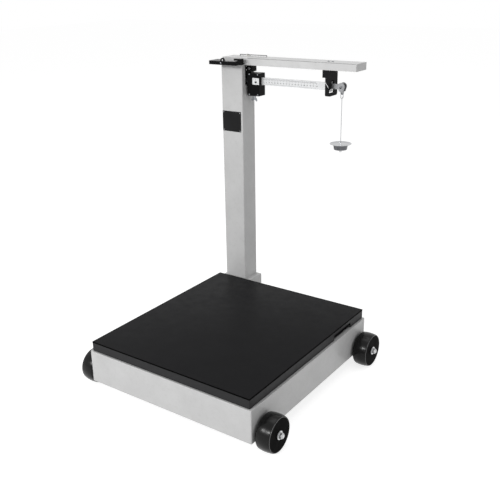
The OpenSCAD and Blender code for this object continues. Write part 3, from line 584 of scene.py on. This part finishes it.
class Look(Enum):
    """Every finish on the scale."""

    # Satin stoving enamel on the base and the column: a light neutral grey
    GREY_ENAMEL = Enamel("satin_grey_enamel", "bebebe", 0.42, coat=0.15)
    # The same enamel painted a shade lighter on the shelf's tube: painted light on its faces
    SHELF_ENAMEL_PAINTED_LIGHTER = Enamel("grey_enamel_painted_lighter", "cacaca", 0.4, coat=0.15)
    # Charcoal enamel on the deck's pressing, seen on its skirt: dull, and painted greyer than the
    # top sheet as painted light on the deck's sides
    SKIRT_ENAMEL_PAINTED_LIGHTER = Enamel(
        "skirt_enamel_painted_lighter", "2c2c2d", 0.4, specular=0.08, wear="4a4a4b", dust="3a3a3b",
        grain_depth_mm=0.02, dust_amount=0.05,
    )
    # Smooth black sheet on top of the deck: dark, with broad soft reflections, painted darker than
    # the skirt as painted shade on the deck's top
    DECK_ENAMEL_PAINTED_DARKER = Enamel(
        "deck_top_enamel_painted_darker", "222223", 0.42, specular=0.016, grain_mm=1.1,
        grain_depth_mm=0.02, wear="3a3a3b", dust="2c2c2d", dust_amount=0.05,
    )
    # Black enamel on the stand and the poise: deep, with a faint highlight
    BLACK_ENAMEL = Enamel(
        "black_enamel", "0e0e0f", 0.3, specular=0.045, wear="2e2e30", dust="1a1a1a",
    )
    # Zinc plating on bolts and washers: pale, with a soft sheen
    ZINC = GroundMetal(
        "zinc_plate", "c6c7c8", 0.28, patch_mm=12.0, patch_contrast=0.1,
        grain_depth_mm=0.01, edge_mm=0.3,
    )
    # Ground hardened steel of knives, seats and bare screws: darker, with a clear highlight
    KNIFE_STEEL = GroundMetal(
        "ground_steel", "8e9094", 0.28, patch_contrast=0.08,
        grain_depth_mm=0.01, edge_mm=0.2,
    )
    # Black enamel on the strap of the trig loop, a little greyer than the other black enamel
    STRAP_ENAMEL = Enamel(
        "black_strap_enamel", "212122", 0.34, specular=0.02, wear="3c3c3e", dust="1a1a1a",
    )
    # Ground and lacquered beam bar: pale, near white in soft light
    BEAM_BAR = GroundMetal(
        "ground_beam_bar", "dcddde", 0.38, metallic=0.2, patch_mm=60.0,
        patch_contrast=0.03, grain_depth_mm=0.008, edge_mm=0.3,
    )
    # Bright drawn wire of the hanger and the rod: pale, with a thin line of light
    WIRE = GroundMetal(
        "bright_wire", "b9babc", 0.28, grain_depth_mm=0.005, edge_mm=0.1,
        along=(1.0, 1.0, 0.04),
    )
    # Machined castings, such as the beam's nose and the pendant: mid grey and slightly pitted
    RAW_IRON = CastIron(
        "machined_iron", "8b8c8e", 0.36, metallic=0.8, patch_mm=30.0, patch_contrast=0.12,
        grain_mm=1.2, grain_depth_mm=0.04, edge_mm=0.5, bare="9a9b9d",
    )
    # Spun and polished steel of the pan's plate: thin and bright
    SPUN_STEEL = GroundMetal(
        "spun_steel", "b0b1b3", 0.2, patch_mm=20.0,
        grain_depth_mm=0.004, edge_mm=0.2, along=(1.0, 1.0, 1.0),
    )
    # Anodised plate on the column: even black with a soft sheen
    COLUMN_PLATE = Enamel(
        "black_anodised_plate", "101011", 0.32, specular=0.14, wear="7a7b7c", dust="262627",
        grain_depth_mm=0.006, edge_mm=0.2, dust_amount=0.04,
    )
    # Near-black strip round the deck's top edge: the deepest black on the scale, a painted shadow
    # line where the top meets the skirt
    EDGE_SHADOW_STRIP = Enamel(
        "painted_edge_shadow_enamel", "020202", 0.6, specular=0.01, wear="0a0a0a", dust="050505",
        grain_depth_mm=0.01, edge_mm=0.1, dust_amount=0.03,
    )
    # Fold of the shelf: a dull mid grey line, darker than the shelf
    SEAM = Enamel("seam_grey_enamel", "8a8b8b", 0.5, edge_mm=0.2)
    # Flat web over the wheel's outer face: a dull, deep black copy of the tread's rubber with
    # little reflection, painted shade on the face
    SHADED_WEB_RUBBER = Moulded(
        "rubber_web_painted_shade", "070707", 0.5, specular=0.012, patch_mm=40.0, grain_mm=0.9,
        grain_depth_mm=0.03, edge_mm=0.3, scuff="161616",
    )
    # Polished bead of the wheel, lighter grey than the tread's rubber: a painted highlight, the
    # thin line of light along the rim
    RIM_HIGHLIGHT_RUBBER = Moulded(
        "rubber_bead_painted_highlight", "4a4a4b", 0.2, patch_mm=40.0, grain_depth_mm=0.01,
        edge_mm=0.3, scuff="808081",
    )
    # Turned cup of the pan: darker steel with a soft oiled sheen
    OILED_STEEL = GroundMetal(
        "oiled_steel", "626366", 0.24, patch_mm=20.0, patch_contrast=0.12,
        grain_depth_mm=0.004, edge_mm=0.2, along=(1.0, 1.0, 0.1),
    )
    # Blackened wire of the rail: a thin dark line with little shine
    DARK_WIRE = GroundMetal(
        "blackened_wire", "4a4b4d", 0.35, metallic=0.7, grain_depth_mm=0.005, edge_mm=0.1,
    )
    # Primed castings of the levers and stands: rough and dull, with bare metal on their edges
    PRIMED_IRON = CastIron(
        "primed_cast_iron", "4c4e51", 0.62, patch_mm=60.0, patch_contrast=0.15,
        grain_mm=1.4, grain_depth_mm=0.12, edge_mm=1.2,
    )
    # Solid moulded rubber of the treads: near black, with a soft spot of light
    RUBBER = Moulded(
        "moulded_rubber", "0a0a0a", 0.23, specular=0.2, patch_mm=40.0, patch_contrast=0.12,
        grain_mm=0.9, grain_depth_mm=0.04, edge_mm=0.8,
    )
    # Moulded plastic of the rack: black with a fine grain
    BLACK_PLASTIC = Moulded(
        "moulded_black_plastic", "0e0e0f", 0.28, specular=0.06, grain_mm=0.8,
        scuff="3c3c3d", scuff_amount=0.15,
    )
    # Moulded nylon of the tab and the nuts' rings: warm white and satin
    WHITE_PLASTIC = Moulded(
        "moulded_white_plastic", "dcdbd6", 0.4, grain_mm=0.8, grain_depth_mm=0.02,
        scuff="b0aca3",
    )
    # Turned brass of the balance ball and the shoe: yellow with fine turning lines
    BRASS = GroundMetal("turned_brass", "b08d4a", 0.3, grain_depth_mm=0.01, edge_mm=0.3)
    # Worn fill of the engraved marks: thin grey lines on the pale bar
    ENGRAVING = Moulded(
        "engraving_fill", "4a4b4d", 0.6, edge_mm=0.05, scuff="707173", scuff_amount=0.3,
    )


CORNERS = ("front_left", "front_right", "rear_left", "rear_right")
# The look of each CAD node
NODE_LOOKS: dict[Look, tuple[str, ...]] = {
    Look.GREY_ENAMEL: (
        "base_frame", "corner_plates", "column_foot", "column", "column_cap", "shelf_end_cap",
    ),
    Look.SHELF_ENAMEL_PAINTED_LIGHTER: ("shelf_tube",),
    Look.SKIRT_ENAMEL_PAINTED_LIGHTER: ("deck_plate", "deck_ribs"),
    Look.BLACK_ENAMEL: ("beam_stand", "poise_front", "poise_body", "poise_back"),
    Look.STRAP_ENAMEL: ("trig_loop",),
    Look.ZINC: (
        "stand_bolts", "axle_bolts", "axle_nuts", "axle_washers", "centre_link",
        "rod_stirrups", "foot_bolts", "rack_screw", "stand_screws", "trig_screws",
        "poise_screws", "pan_nut",
    ),
    Look.KNIFE_STEEL: (
        "lock_screw", "stand_bearings", "main_lever_pivots", "short_lever_pivots", "beam_bearings",
        "beam_pivots", *(f"bush_{corner}" for corner in CORNERS),
    ),
    Look.BEAM_BAR: ("beam_bar", "beam_sleeve"),
    Look.WIRE: ("steelyard_rod", "hanger_rod"),
    Look.DARK_WIRE: ("shelf_rail",),
    Look.SPUN_STEEL: ("pan_plate",),
    Look.OILED_STEEL: ("pan_cup",),
    Look.RAW_IRON: ("column_socket", "beam_butt", "beam_nose", "pendant"),
    Look.PRIMED_IRON: ("lever_stands", "deck_feet", "main_lever", "short_lever"),
    Look.RUBBER: tuple(f"wheel_{corner}" for corner in CORNERS),
    Look.BLACK_PLASTIC: ("weight_rack",),
    Look.WHITE_PLASTIC: ("rail_tab",),
    Look.BRASS: ("balance_ball", "lock_shoe"),
}


class Wardrobe:
    """Makes each finish once, and dresses the CAD nodes and the pieces in it."""

    def __init__(self) -> None:
        """Start with no material made."""
        self.made: dict[Look, bpy.types.Material] = {}

    def get(self, look: Look) -> bpy.types.Material:
        """Give the material of a look, made at its first use.

        Args:
            look: the finish.

        Returns:
            Its material.
        """
        if look not in self.made:
            self.made[look] = look.value.material()
        return self.made[look]

    def dress_nodes(self) -> None:
        """Put a finish on every CAD node."""
        for look, names in NODE_LOOKS.items():
            for name in names:
                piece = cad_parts[name]
                piece.data.materials.clear()
                piece.data.materials.append(self.get(look))
        log.info("dressed %d nodes", sum(len(n) for n in NODE_LOOKS.values()))

    def finish(
        self, name: str, stamps: list[Stamp], body: str, look: Look,
    ) -> bpy.types.Object:
        """Stamp shapes into one mesh and make it a piece that rides on a CAD body.

        Args:
            name: the piece's name.
            stamps: what it is made of. The shapes are freed here.
            body: the CAD body that the piece moves with.
            look: the piece's finish.

        Returns:
            The new object, at the origin.
        """
        mesh = bmesh.new()
        for shape, places in stamps:
            copied = bpy.data.meshes.new("stamp")
            shape.to_mesh(copied)
            shape.free()
            for where in places:
                before = len(mesh.verts)
                mesh.from_mesh(copied)
                mesh.verts.ensure_lookup_table()
                bmesh.ops.transform(mesh, matrix=where, verts=mesh.verts[before:])
            bpy.data.meshes.remove(copied)
        bmesh.ops.remove_doubles(mesh, verts=mesh.verts, dist=MERGE)
        bmesh.ops.recalc_face_normals(mesh, faces=mesh.faces)
        limit = math.radians(SMOOTH_DEG)
        for face in mesh.faces:
            face.smooth = True
        for edge in mesh.edges:
            edge.smooth = len(edge.link_faces) == 2 and edge.calc_face_angle(0.0) < limit
        data = bpy.data.meshes.new(name)
        mesh.to_mesh(data)
        mesh.free()
        data.materials.append(self.get(look))
        piece = bpy.data.objects.new(name, data)
        bpy.context.scene.collection.objects.link(piece)
        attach(piece, body)
        log.info("%s: %d faces, on %s", name, len(data.polygons), body)
        return piece


# Pieces


class Part(ABC):
    """One sub-assembly that the scene adds. Its sizes are in millimetres."""

    @abstractmethod
    def build(self, wardrobe: Wardrobe) -> None:
        """Build the pieces, dress them and put them on their body.

        Args:
            wardrobe: where the finishes come from.
        """


@dataclass
class AxleNuts(Part):
    """Chamfered lock nuts on the axle bolts, each with its plastic ring.

    collar holds its radii at the foot and the top, and ring_top how far the ring lies below the
    nut's end at its rim and at its bore.
    """

    across: float = 18.0
    hex_length: float = 7.6
    length: float = 10.0
    bore: float = 12.0
    clearance: float = 0.05
    corner_ease: float = 0.15
    chamfer_in: float = 1.3
    chamfer_up: float = 1.0
    collar: Pair = (8.3, 7.3)
    collar_slope: float = 1.2
    ring_wall: float = 0.9
    ring_lip: float = 1.0
    ring_foot: float = 2.0
    ring_top: Pair = (0.3, 0.6)
    inner_x: float = 384.8
    steps: int = 72

    def build(self, wardrobe: Wardrobe) -> None:
        """Turn the blanks, mill the flats and put in the rings."""
        corner = self.across/math.sqrt(3)
        tip, mouth = corner - self.corner_ease, corner - self.chamfer_in
        half = self.bore/2 + self.clearance
        wall, lip = half + self.ring_wall, self.length - self.ring_lip
        blank = turned([
            (half, 0), (mouth, 0), (tip, self.chamfer_up),
            (tip, self.hex_length - self.chamfer_up), (mouth, self.hex_length),
            (self.collar[0], self.hex_length), (self.collar[0], self.length - self.collar_slope),
            (self.collar[1], self.length), (wall, self.length), (wall, lip), (half, lip),
            (half, 0),
        ], self.steps)
        for turn in range(6):
            out = Vector((math.cos(turn*math.pi/3), math.sin(turn*math.pi/3), 0.0))
            cut_off(blank, out*self.across/2*MM, out)
        sides = ((Face.LEFT, -self.inner_x), (Face.RIGHT, self.inner_x))
        places = [
            face.at(x, y, AXLE_Z) for face, x in sides for y in (FRONT_AXLE_Y, REAR_AXLE_Y)]
        made = wardrobe.finish("axle_nut_hexes", [(blank, places)], "base", Look.ZINC)
        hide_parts("axle_nuts")
        foot = self.length - self.ring_foot
        ring = turned([
            (half, foot), (wall, foot), (wall, self.length - self.ring_top[0]),
            (half, self.length - self.ring_top[1]), (half, foot),
        ])
        wardrobe.finish("axle_nut_rings", [(ring, places)], "base",
                        Look.WHITE_PLASTIC)


@dataclass
class SlottedScrews(Part):
    """Slotted pan-head screws that stand for one node of plain ones."""

    name: str
    node: str
    body: str
    head: float
    rise: float
    shank: float
    depth: float
    seats: list[Matrix]
    lap: float = 0.05
    steps: int = 32

    def build(self, wardrobe: Wardrobe) -> None:
        """Turn the heads, cut the slots and set the screws in their places."""
        width, deep = self.head*SLOT_SHARES[0], self.rise*SLOT_SHARES[1]
        whole = [(self.head*out, self.rise*up) for out, up in PAN_HEAD]
        whole += [(self.shank/2, 0), (self.shank/2, -self.depth), (0, -self.depth)]
        stem = turned(whole, self.steps)
        cut_off(stem, Vector((0, 0, self.rise - deep))*MM, Vector((0, 0, 1)))
        stamps = [(stem, self.seats)]
        for side in (-1, 1):
            lip = turned(whole, self.steps)
            cut_off(lip, Vector((0, 0, self.rise - deep - self.lap))*MM, Vector((0, 0, -1)))
            cut_off(lip, Vector((side*width/2, 0, 0))*MM, Vector((-side, 0, 0)))
            stamps.append((lip, self.seats))
        made = wardrobe.finish(self.name, stamps, self.body, Look.KNIFE_STEEL)
        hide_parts(self.node)


@dataclass
class ColumnPlate(Part):
    """Bare black plate on the front of the column, held by four drive rivets."""

    middle: Triple = (-268.0, 331.5, 797.2)
    size: Pair = (83.4, 75.6)
    thick: float = 0.8
    radius: float = 0.25
    rim: float = 1.4
    rim_rise: float = 0.35
    rim_overhang: float = 0.3
    corner: float = 2.5
    rivet_inset: float = 4.5

    def build(self, wardrobe: Wardrobe) -> None:
        """Build the plate, its raised border and its rivets."""
        where = Face.FRONT.at(*self.middle)
        half = (self.size[0]/2 - self.rim_overhang, self.size[1]/2 - self.rim_overhang)
        sheet = bevelled_box((-half[0], -half[1], 0), (*half, self.thick), self.radius)
        opening = (self.size[0] - 2*self.rim, self.size[1] - 2*self.rim)
        border = framed_plate(self.size, opening, self.thick + self.rim_rise, self.corner)
        wardrobe.finish("column_plate", [(sheet, [where]), (border, [where])], "base",
                        Look.COLUMN_PLATE)
        reach = (half[0] - self.rivet_inset, half[1] - self.rivet_inset)
        places = [
            where @ Face.UP.at(across*reach[0], up*reach[1], self.thick)
            for across in (-1, 1) for up in (-1, 1)
        ]
        head = turned(RIVET_HEAD, HEAD_STEPS)
        wardrobe.finish("column_plate_rivets", [(head, places)], "base", Look.ZINC)


@dataclass
class BeamScale(Part):
    """One engraved scale on the beam: ticks with figures under them."""

    name: str
    face: Face
    face_y: float
    steps: int
    per_figure: int
    per_middle: int
    travel: float = 245.0
    top_z: float = 956.6
    low_z: float = 938.4
    figure_z: float = 944.4
    figure_height: float = 4.4
    long_tick: Pair = (7.2, 0.5)
    middle_tick: Pair = (5.6, 0.35)
    short_tick: Pair = (4.2, 0.28)
    half_line: float = 0.2
    relief: float = 0.16

    def tick(self, step: int) -> Pair:
        """Give the size of a tick.

        Args:
            step: which tick it is, from zero on.

        Returns:
            Its length and its width.
        """
        if step % self.per_figure == 0:
            return self.long_tick
        if step % self.per_middle == 0:
            return self.middle_tick
        return self.short_tick

    def build(self, wardrobe: Wardrobe) -> None:
        """Build the ticks, the figures and the lines above and below them."""
        stamps: list[Stamp] = []
        pitch = self.travel/self.steps
        for step in range(self.steps + 1):
            length, width = self.tick(step)
            x = ZERO_X + step*pitch
            box = bevelled_box((-width/2, -length, 0.0), (width/2, 0.0, self.relief))
            stamps.append((box, [self.face.at(x, self.face_y, self.top_z)]))
            if step % self.per_figure == 0:
                figures = lettering(str(step), self.figure_height, self.relief*2)
                stamps.append((figures, [self.face.at(x, self.face_y, self.figure_z)]))
        middle = ZERO_X + self.travel/2
        line = bevelled_box((-self.travel/2, -self.half_line, 0),
                            (self.travel/2, self.half_line, self.relief))
        stamps.append((line, [
            self.face.at(middle, self.face_y, z)
            for z in (self.top_z + self.half_line, self.low_z)
        ]))
        wardrobe.finish(self.name, stamps, "beam", Look.ENGRAVING)


@dataclass
class PoiseWindow(Part):
    """Light index plate in the poise's window, with its opening, its pointer and four dashes."""

    centre: Pair = (ZERO_X, 947.5)
    size: Pair = (29.2, 23.6)
    opening: Pair = (8.4, 7.0)
    opening_shift: Pair = (0.0, -3.1)
    front_y: float = 354.6
    thick: float = 1.6
    corner: float = 0.8
    relief: float = 0.2
    pointer_size: Pair = (0.8, 7.6)
    pointer_foot: float = 1.4
    dash_size: Pair = (4.4, 0.6)
    dash_at: Pair = (9.4, 6.0)

    def build(self, wardrobe: Wardrobe) -> None:
        """Build the plate and the marks on it."""
        x, z = self.centre
        plate = framed_plate(
            self.size, self.opening, self.thick, self.corner, self.opening_shift)
        wardrobe.finish(
            "poise_index_plate", [(plate, [Face.FRONT.at(x, self.front_y + self.thick, z)])],
            "poise", Look.BEAM_BAR)
        width, length = self.pointer_size
        pointer = bevelled_box((-width/2, 0, 0), (width/2, length, self.relief))
        width, height = self.dash_size
        dash = bevelled_box((-width/2, -height/2, 0), (width/2, height/2, self.relief))
        wardrobe.finish("poise_index_marks", [
            (pointer, [Face.FRONT.at(x, self.front_y, z + self.pointer_foot)]),
            (dash, [
                Face.FRONT.at(x + side*self.dash_at[0], self.front_y, z + lift*self.dash_at[1])
                for side in (-1, 1) for lift in (-1, 1)
            ]),
        ], "poise", Look.ENGRAVING)


@dataclass
class BoxTrim(Part):
    """Small plates, walls and folds with rounded edges, each one box."""

    name: str
    body: str
    slot: str
    look: Look
    radius: float
    boxes: list[Box]

    def build(self, wardrobe: Wardrobe) -> None:
        """Round the boxes and leave them where they are."""
        stamps = [(bevelled_box(low, high, self.radius), HERE) for low, high in self.boxes]
        wardrobe.finish(self.name, stamps, self.body, self.look)


@dataclass
class DeckTop(Part):
    """Thin smooth sheet on the deck, painted darker than the skirt as painted shade on the top,
    and the near-black strip round its edge, a painted shadow line.
    """

    size: Pair = (635.0, 711.0)
    middle_y: float = -61.25
    top: float = 185.5
    corner: float = 3.2
    strip_height: float = 3.4
    strip_inset: float = 4.0
    strip_proud: float = 0.2
    strip_rise: float = 0.15
    sheet_lap: float = 0.6
    sheet_rise: float = 0.1
    sheet_depth: float = 0.5
    sheet_radius: float = 0.05

    def build(self, wardrobe: Wardrobe) -> None:
        """Build the strip as one frame, and the sheet inside it."""
        outer = (self.size[0] + 2*self.strip_proud, self.size[1] + 2*self.strip_proud)
        opening = (self.size[0] - self.strip_inset, self.size[1] - self.strip_inset)
        foot = self.top + self.strip_rise - self.strip_height
        # The strip is near black: a painted shadow line along the deck's edge
        strip = framed_plate(outer, opening, self.strip_height, self.corner)
        wardrobe.finish("deck_edge_shadow_strip", [(strip, [Face.UP.at(0.0, self.middle_y, foot)])],
                        "platform", Look.EDGE_SHADOW_STRIP)
        half = (opening[0]/2 + self.sheet_lap, opening[1]/2 + self.sheet_lap)
        low = (-half[0], self.middle_y - half[1], self.top - self.sheet_depth)
        high = (half[0], self.middle_y + half[1], self.top + self.sheet_rise)
        # The sheet's enamel is darker than the skirt's: painted shade on the deck's top
        sheet = bevelled_box(low, high, self.sheet_radius)
        wardrobe.finish("deck_top_sheet", [(sheet, HERE)], "platform",
                        Look.DECK_ENAMEL_PAINTED_DARKER)


@dataclass
class WheelTrim(Part):
    """Web over one wheel's outer face, darker than the tread as painted shade, and the moulded
    bead round it, lighter as a painted highlight.
    """

    body: str
    face: Face
    outer_x: float
    axle_y: float
    radius: float = 54.6
    width: float = 1.8
    rise: float = 0.6
    shoulder: float = 0.4
    foot: float = 0.3
    hub: float = 13.5
    web_lap: float = 0.1
    web_rise: float = 0.1
    web_foot: float = 0.2
    steps: int = 96

    def build(self, wardrobe: Wardrobe) -> None:
        """Turn the bead and the web, and set them on the wheel."""
        inner, outer = self.radius - self.width/2, self.radius + self.width/2
        low, flank = self.rise*self.shoulder, self.width/4
        where = self.face.at(self.outer_x, self.axle_y, AXLE_Z)
        # The bead is lighter than the tread's rubber: a painted highlight along the rim
        bead = turned([
            (inner, -self.foot), (inner, low), (inner + flank, self.rise),
            (outer - flank, self.rise), (outer, low), (outer, -self.foot), (inner, -self.foot),
        ], self.steps)
        wardrobe.finish(f"{self.body}_rim_highlights", [(bead, [where])], self.body,
                        Look.RIM_HIGHLIGHT_RUBBER)
        # The web is darker and duller than the tread: painted shade on the wheel's face
        edge = inner + self.web_lap
        web = turned([
            (self.hub, -self.web_foot), (self.hub, self.web_rise), (edge, self.web_rise),
            (edge, -self.web_foot), (self.hub, -self.web_foot),
        ], self.steps)
        wardrobe.finish(f"{self.body}_web", [(web, [where])], self.body,
                        Look.SHADED_WEB_RUBBER)


@dataclass
class StandTrim(Part):
    """Cover screws on the front of the beam stand and the ring round the fulcrum bearing."""

    face_y: float = 358.0
    ring_at: Pair = (-206.0, 991.5)
    screws_x: float = -217.5
    screws_z: Pair = (1000.0, 986.0)

    def build(self, wardrobe: Wardrobe) -> None:
        """Turn the ring and the screw heads."""
        where = Face.FRONT.at(self.ring_at[0], self.face_y, self.ring_at[1])
        ring = turned(BEARING_RING, RING_STEPS)
        wardrobe.finish("stand_bearing_ring", [(ring, [where])], "base", Look.RAW_IRON)
        places = [Face.FRONT.at(self.screws_x, self.face_y, z) for z in self.screws_z]
        head = turned(COVER_SCREW_HEAD, HEAD_STEPS)
        wardrobe.finish("stand_cover_screws", [(head, places)], "base", Look.ZINC)


# Studio


@dataclass
class Camera:
    """The photographer's view, fitted to the photograph's edges: metres and radians."""

    place: Triple = (1.353368, -1.890487, 1.329049)
    yaw: float = -0.634913
    pitch: float = 0.364954
    roll: float = -0.024027
    focal_px: float = 735.341
    centre_px: Pair = (231.828, 250.596)
    reach: float = 60.0

    def axes(self) -> tuple[Vector, Vector, Vector]:
        """Turn the three angles into directions.

        Returns:
            The camera's right, up and forward.
        """
        forward = Vector((
            math.sin(self.yaw)*math.cos(self.pitch),
            math.cos(self.yaw)*math.cos(self.pitch),
            -math.sin(self.pitch),
        ))
        level = Vector((math.cos(self.yaw), -math.sin(self.yaw), 0.0))
        steep = level.cross(forward)
        right = math.cos(self.roll)*level + math.sin(self.roll)*steep
        up = -math.sin(self.roll)*level + math.cos(self.roll)*steep
        return right, up, forward

    def build(self) -> None:
        """Put the camera in the scene."""
        right, up, forward = self.axes()
        data = bpy.data.cameras.new("camera")
        data.sensor_width = SENSOR_MM
        data.lens = self.focal_px*SENSOR_MM/PHOTO_PX
        data.shift_x = (PHOTO_PX/2 - self.centre_px[0])/PHOTO_PX
        data.shift_y = (self.centre_px[1] - PHOTO_PX/2)/PHOTO_PX
        data.clip_end = self.reach
        camera = bpy.data.objects.new("camera", data)
        turn = Matrix((right, up, -forward)).transposed().to_4x4()
        camera.matrix_world = Matrix.Translation(self.place) @ turn
        bpy.context.scene.collection.objects.link(camera)
        bpy.context.scene.camera = camera


@dataclass
class Lamp:
    """One square soft box, in metres and watts."""

    name: str
    place: Triple
    target: Triple
    size: float
    power: float

    def build(self) -> None:
        """Hang the lamp and aim it."""
        data = bpy.data.lights.new(self.name, "AREA")
        data.shape = "SQUARE"
        data.size = self.size
        data.energy = self.power
        lamp = bpy.data.objects.new(self.name, data)
        aim = Vector(self.target) - Vector(self.place)
        turn = aim.to_track_quat("-Z", "Y").to_matrix().to_4x4()
        lamp.matrix_world = Matrix.Translation(self.place) @ turn
        bpy.context.scene.collection.objects.link(lamp)


@dataclass
class Studio:
    """A pale floor, an even sky and a few soft boxes."""

    ambient: float = 0.42
    floor_size: float = 30.0
    floor_glow: float = 0.78
    floor_seen: Colour = (0.5, 0.5, 0.5, 1.0)
    floor_bounce: Colour = (0.75, 0.75, 0.75, 1.0)
    lamps: list[Lamp] = field(default_factory=lambda: [
        Lamp("key", (-1.8, -4.2, 2.4), (0.0, 0.0, 0.4), 0.9, 70.0),
        Lamp("kicker", (-0.2, -4.2, 2.3), (0.0, 0.0, 0.5), 0.4, 62.0),
        Lamp("fill", (4.2, -0.8, 2.2), (0.0, 0.0, 0.5), 2.4, 26.0),
        Lamp("top", (0.2, 0.6, 4.4), (0.0, 0.0, 0.2), 2.6, 30.0),
    ])

    def build(self) -> None:
        """Put up the world, the floor and the lamps."""
        self.build_world()
        self.build_floor()
        for lamp in self.lamps:
            lamp.build()
        bpy.context.scene.view_settings.view_transform = "Standard"

    @staticmethod
    def parted(tree: Tree, lit: Socket, seen: Socket) -> dict[str | int, Socket]:
        """Light the object with one shader, and show another to the camera and to mirrors.

        Args:
            tree: the nodes of the world or of the floor.
            lit: the shader that lights the object.
            seen: the shader that is looked at.

        Returns:
            The link for the output node.
        """
        rays = add_node(tree, "ShaderNodeLightPath")
        straight = add_node(tree, "ShaderNodeMath", {"operation": "MAXIMUM"}, {
            0: rays.outputs["Is Camera Ray"], 1: rays.outputs["Is Glossy Ray"],
        })
        mixed = add_node(tree, "ShaderNodeMixShader", {}, {
            0: straight.outputs["Value"], 1: lit, 2: seen,
        })
        return {"Surface": mixed.outputs["Shader"]}

    def build_world(self) -> None:
        """Make the sky even, and white where it is looked at."""
        world = bpy.data.worlds.new("studio")
        bpy.context.scene.world = world
        world.use_nodes = True
        tree = world.node_tree
        tree.nodes.clear()
        lit = add_node(tree, "ShaderNodeBackground", {"Color": WHITE, "Strength": self.ambient})
        seen = add_node(tree, "ShaderNodeBackground", {"Color": WHITE, "Strength": 1.0})
        add_node(tree, "ShaderNodeOutputWorld", {}, self.parted(
            tree, lit.outputs["Background"], seen.outputs["Background"]))

    def build_floor(self) -> None:
        """Lay a white floor that keeps a faint shadow."""
        mesh = bmesh.new()
        bmesh.ops.create_grid(mesh, x_segments=1, y_segments=1, size=self.floor_size/2)
        data = bpy.data.meshes.new("floor")
        mesh.to_mesh(data)
        mesh.free()
        made = bpy.data.materials.new("studio_floor")
        made.use_nodes = True
        tree = made.node_tree
        tree.nodes.clear()
        matt = add_node(tree, "ShaderNodeBsdfDiffuse", {"Color": self.floor_seen})
        glow = add_node(tree, "ShaderNodeEmission", {"Color": WHITE, "Strength": self.floor_glow})
        both = add_node(tree, "ShaderNodeAddShader", {}, {
            0: matt.outputs["BSDF"], 1: glow.outputs["Emission"],
        })
        plain = add_node(tree, "ShaderNodeBsdfDiffuse", {"Color": self.floor_bounce})
        add_node(tree, "ShaderNodeOutputMaterial", {}, self.parted(
            tree, plain.outputs["BSDF"], both.outputs["Shader"]))
        data.materials.append(made)
        floor = bpy.data.objects.new("floor", data)
        bpy.context.scene.collection.objects.link(floor)


def parts() -> list[Part]:
    """List every sub-assembly that the scene adds.

    Returns:
        The parts, in the order of building.
    """
    poise_seats = [
        face.at(x, y, z)
        for face, y in ((Face.FRONT, 354.0), (Face.BACK, 390.0))
        for x in (-203.0, -166.0) for z in (971.5, 899.5)
    ]
    trig_seats = [Face.UP.at(x, 376.0, 1030.0) for x in (112.5, 127.5)]
    rack_seats = [Face.FRONT.at(-270.5, 273.5, 1016.7)]
    return [
        AxleNuts(),
        SlottedScrews("poise_slotted_screws", "poise_screws", "poise",
                      head=5.6, rise=1.6, shank=4.0, depth=8.0, seats=poise_seats),
        SlottedScrews("trig_slotted_screws", "trig_screws", "base",
                      head=9.0, rise=2.4, shank=5.0, depth=20.0, seats=trig_seats),
        SlottedScrews("rack_slotted_screw", "rack_screw", "base",
                      head=6.0, rise=1.5, shank=4.0, depth=6.0, seats=rack_seats),
        ColumnPlate(),
        BeamScale("beam_scale_front", Face.FRONT, face_y=368.8, steps=100, per_figure=5,
                  per_middle=5),
        BeamScale("beam_scale_back", Face.BACK, face_y=375.2, steps=110, per_figure=10,
                  per_middle=5),
        PoiseWindow(),
        # Thin end plates that close the poise's channel, just clear of the beam's face
        BoxTrim("poise_end_guards", "poise", "black_paint", Look.BLACK_ENAMEL, 0.3, [
            ((-211.2, 355.0, 931.0), (-209.7, 367.3, 964.0)),
            ((-159.3, 355.0, 931.0), (-157.8, 367.3, 964.0)),
        ]),
        DeckTop(),
        WheelTrim("wheel_fl", Face.LEFT, -382.5, FRONT_AXLE_Y),
        WheelTrim("wheel_fr", Face.RIGHT, 382.5, FRONT_AXLE_Y),
        WheelTrim("wheel_rl", Face.LEFT, -382.5, REAR_AXLE_Y),
        WheelTrim("wheel_rr", Face.RIGHT, 382.5, REAR_AXLE_Y),
        # Folded seam along the top front edge of the shelf: a darker grey line
        BoxTrim("shelf_seam", "base", "grey_paint", Look.SEAM, 0.35, [
            ((-203.0, 343.2, 1028.8), (231.0, 344.7, 1030.3)),
        ]),
        # Raised end wall of the rack at its right, with a lip that turns in over the tray
        BoxTrim("rack_end_lip", "base", "black_plastic", Look.BLACK_PLASTIC, 1.5, [
            ((-220.5, 306.0, 1014.0), (-206.0, 326.0, 1029.0)),
            ((-237.5, 306.4, 1023.4), (-207.0, 325.6, 1029.6)),
        ]),
        StandTrim(),
    ]


def main() -> None:
    """Build the studio, dress the frame and add the pieces in order."""
    Camera().build()
    Studio().build()
    wardrobe = Wardrobe()
    wardrobe.dress_nodes()
    for part in parts():
        log.info("%s", type(part).__name__)
        part.build(wardrobe)


if __name__ == "__main__":
    main()
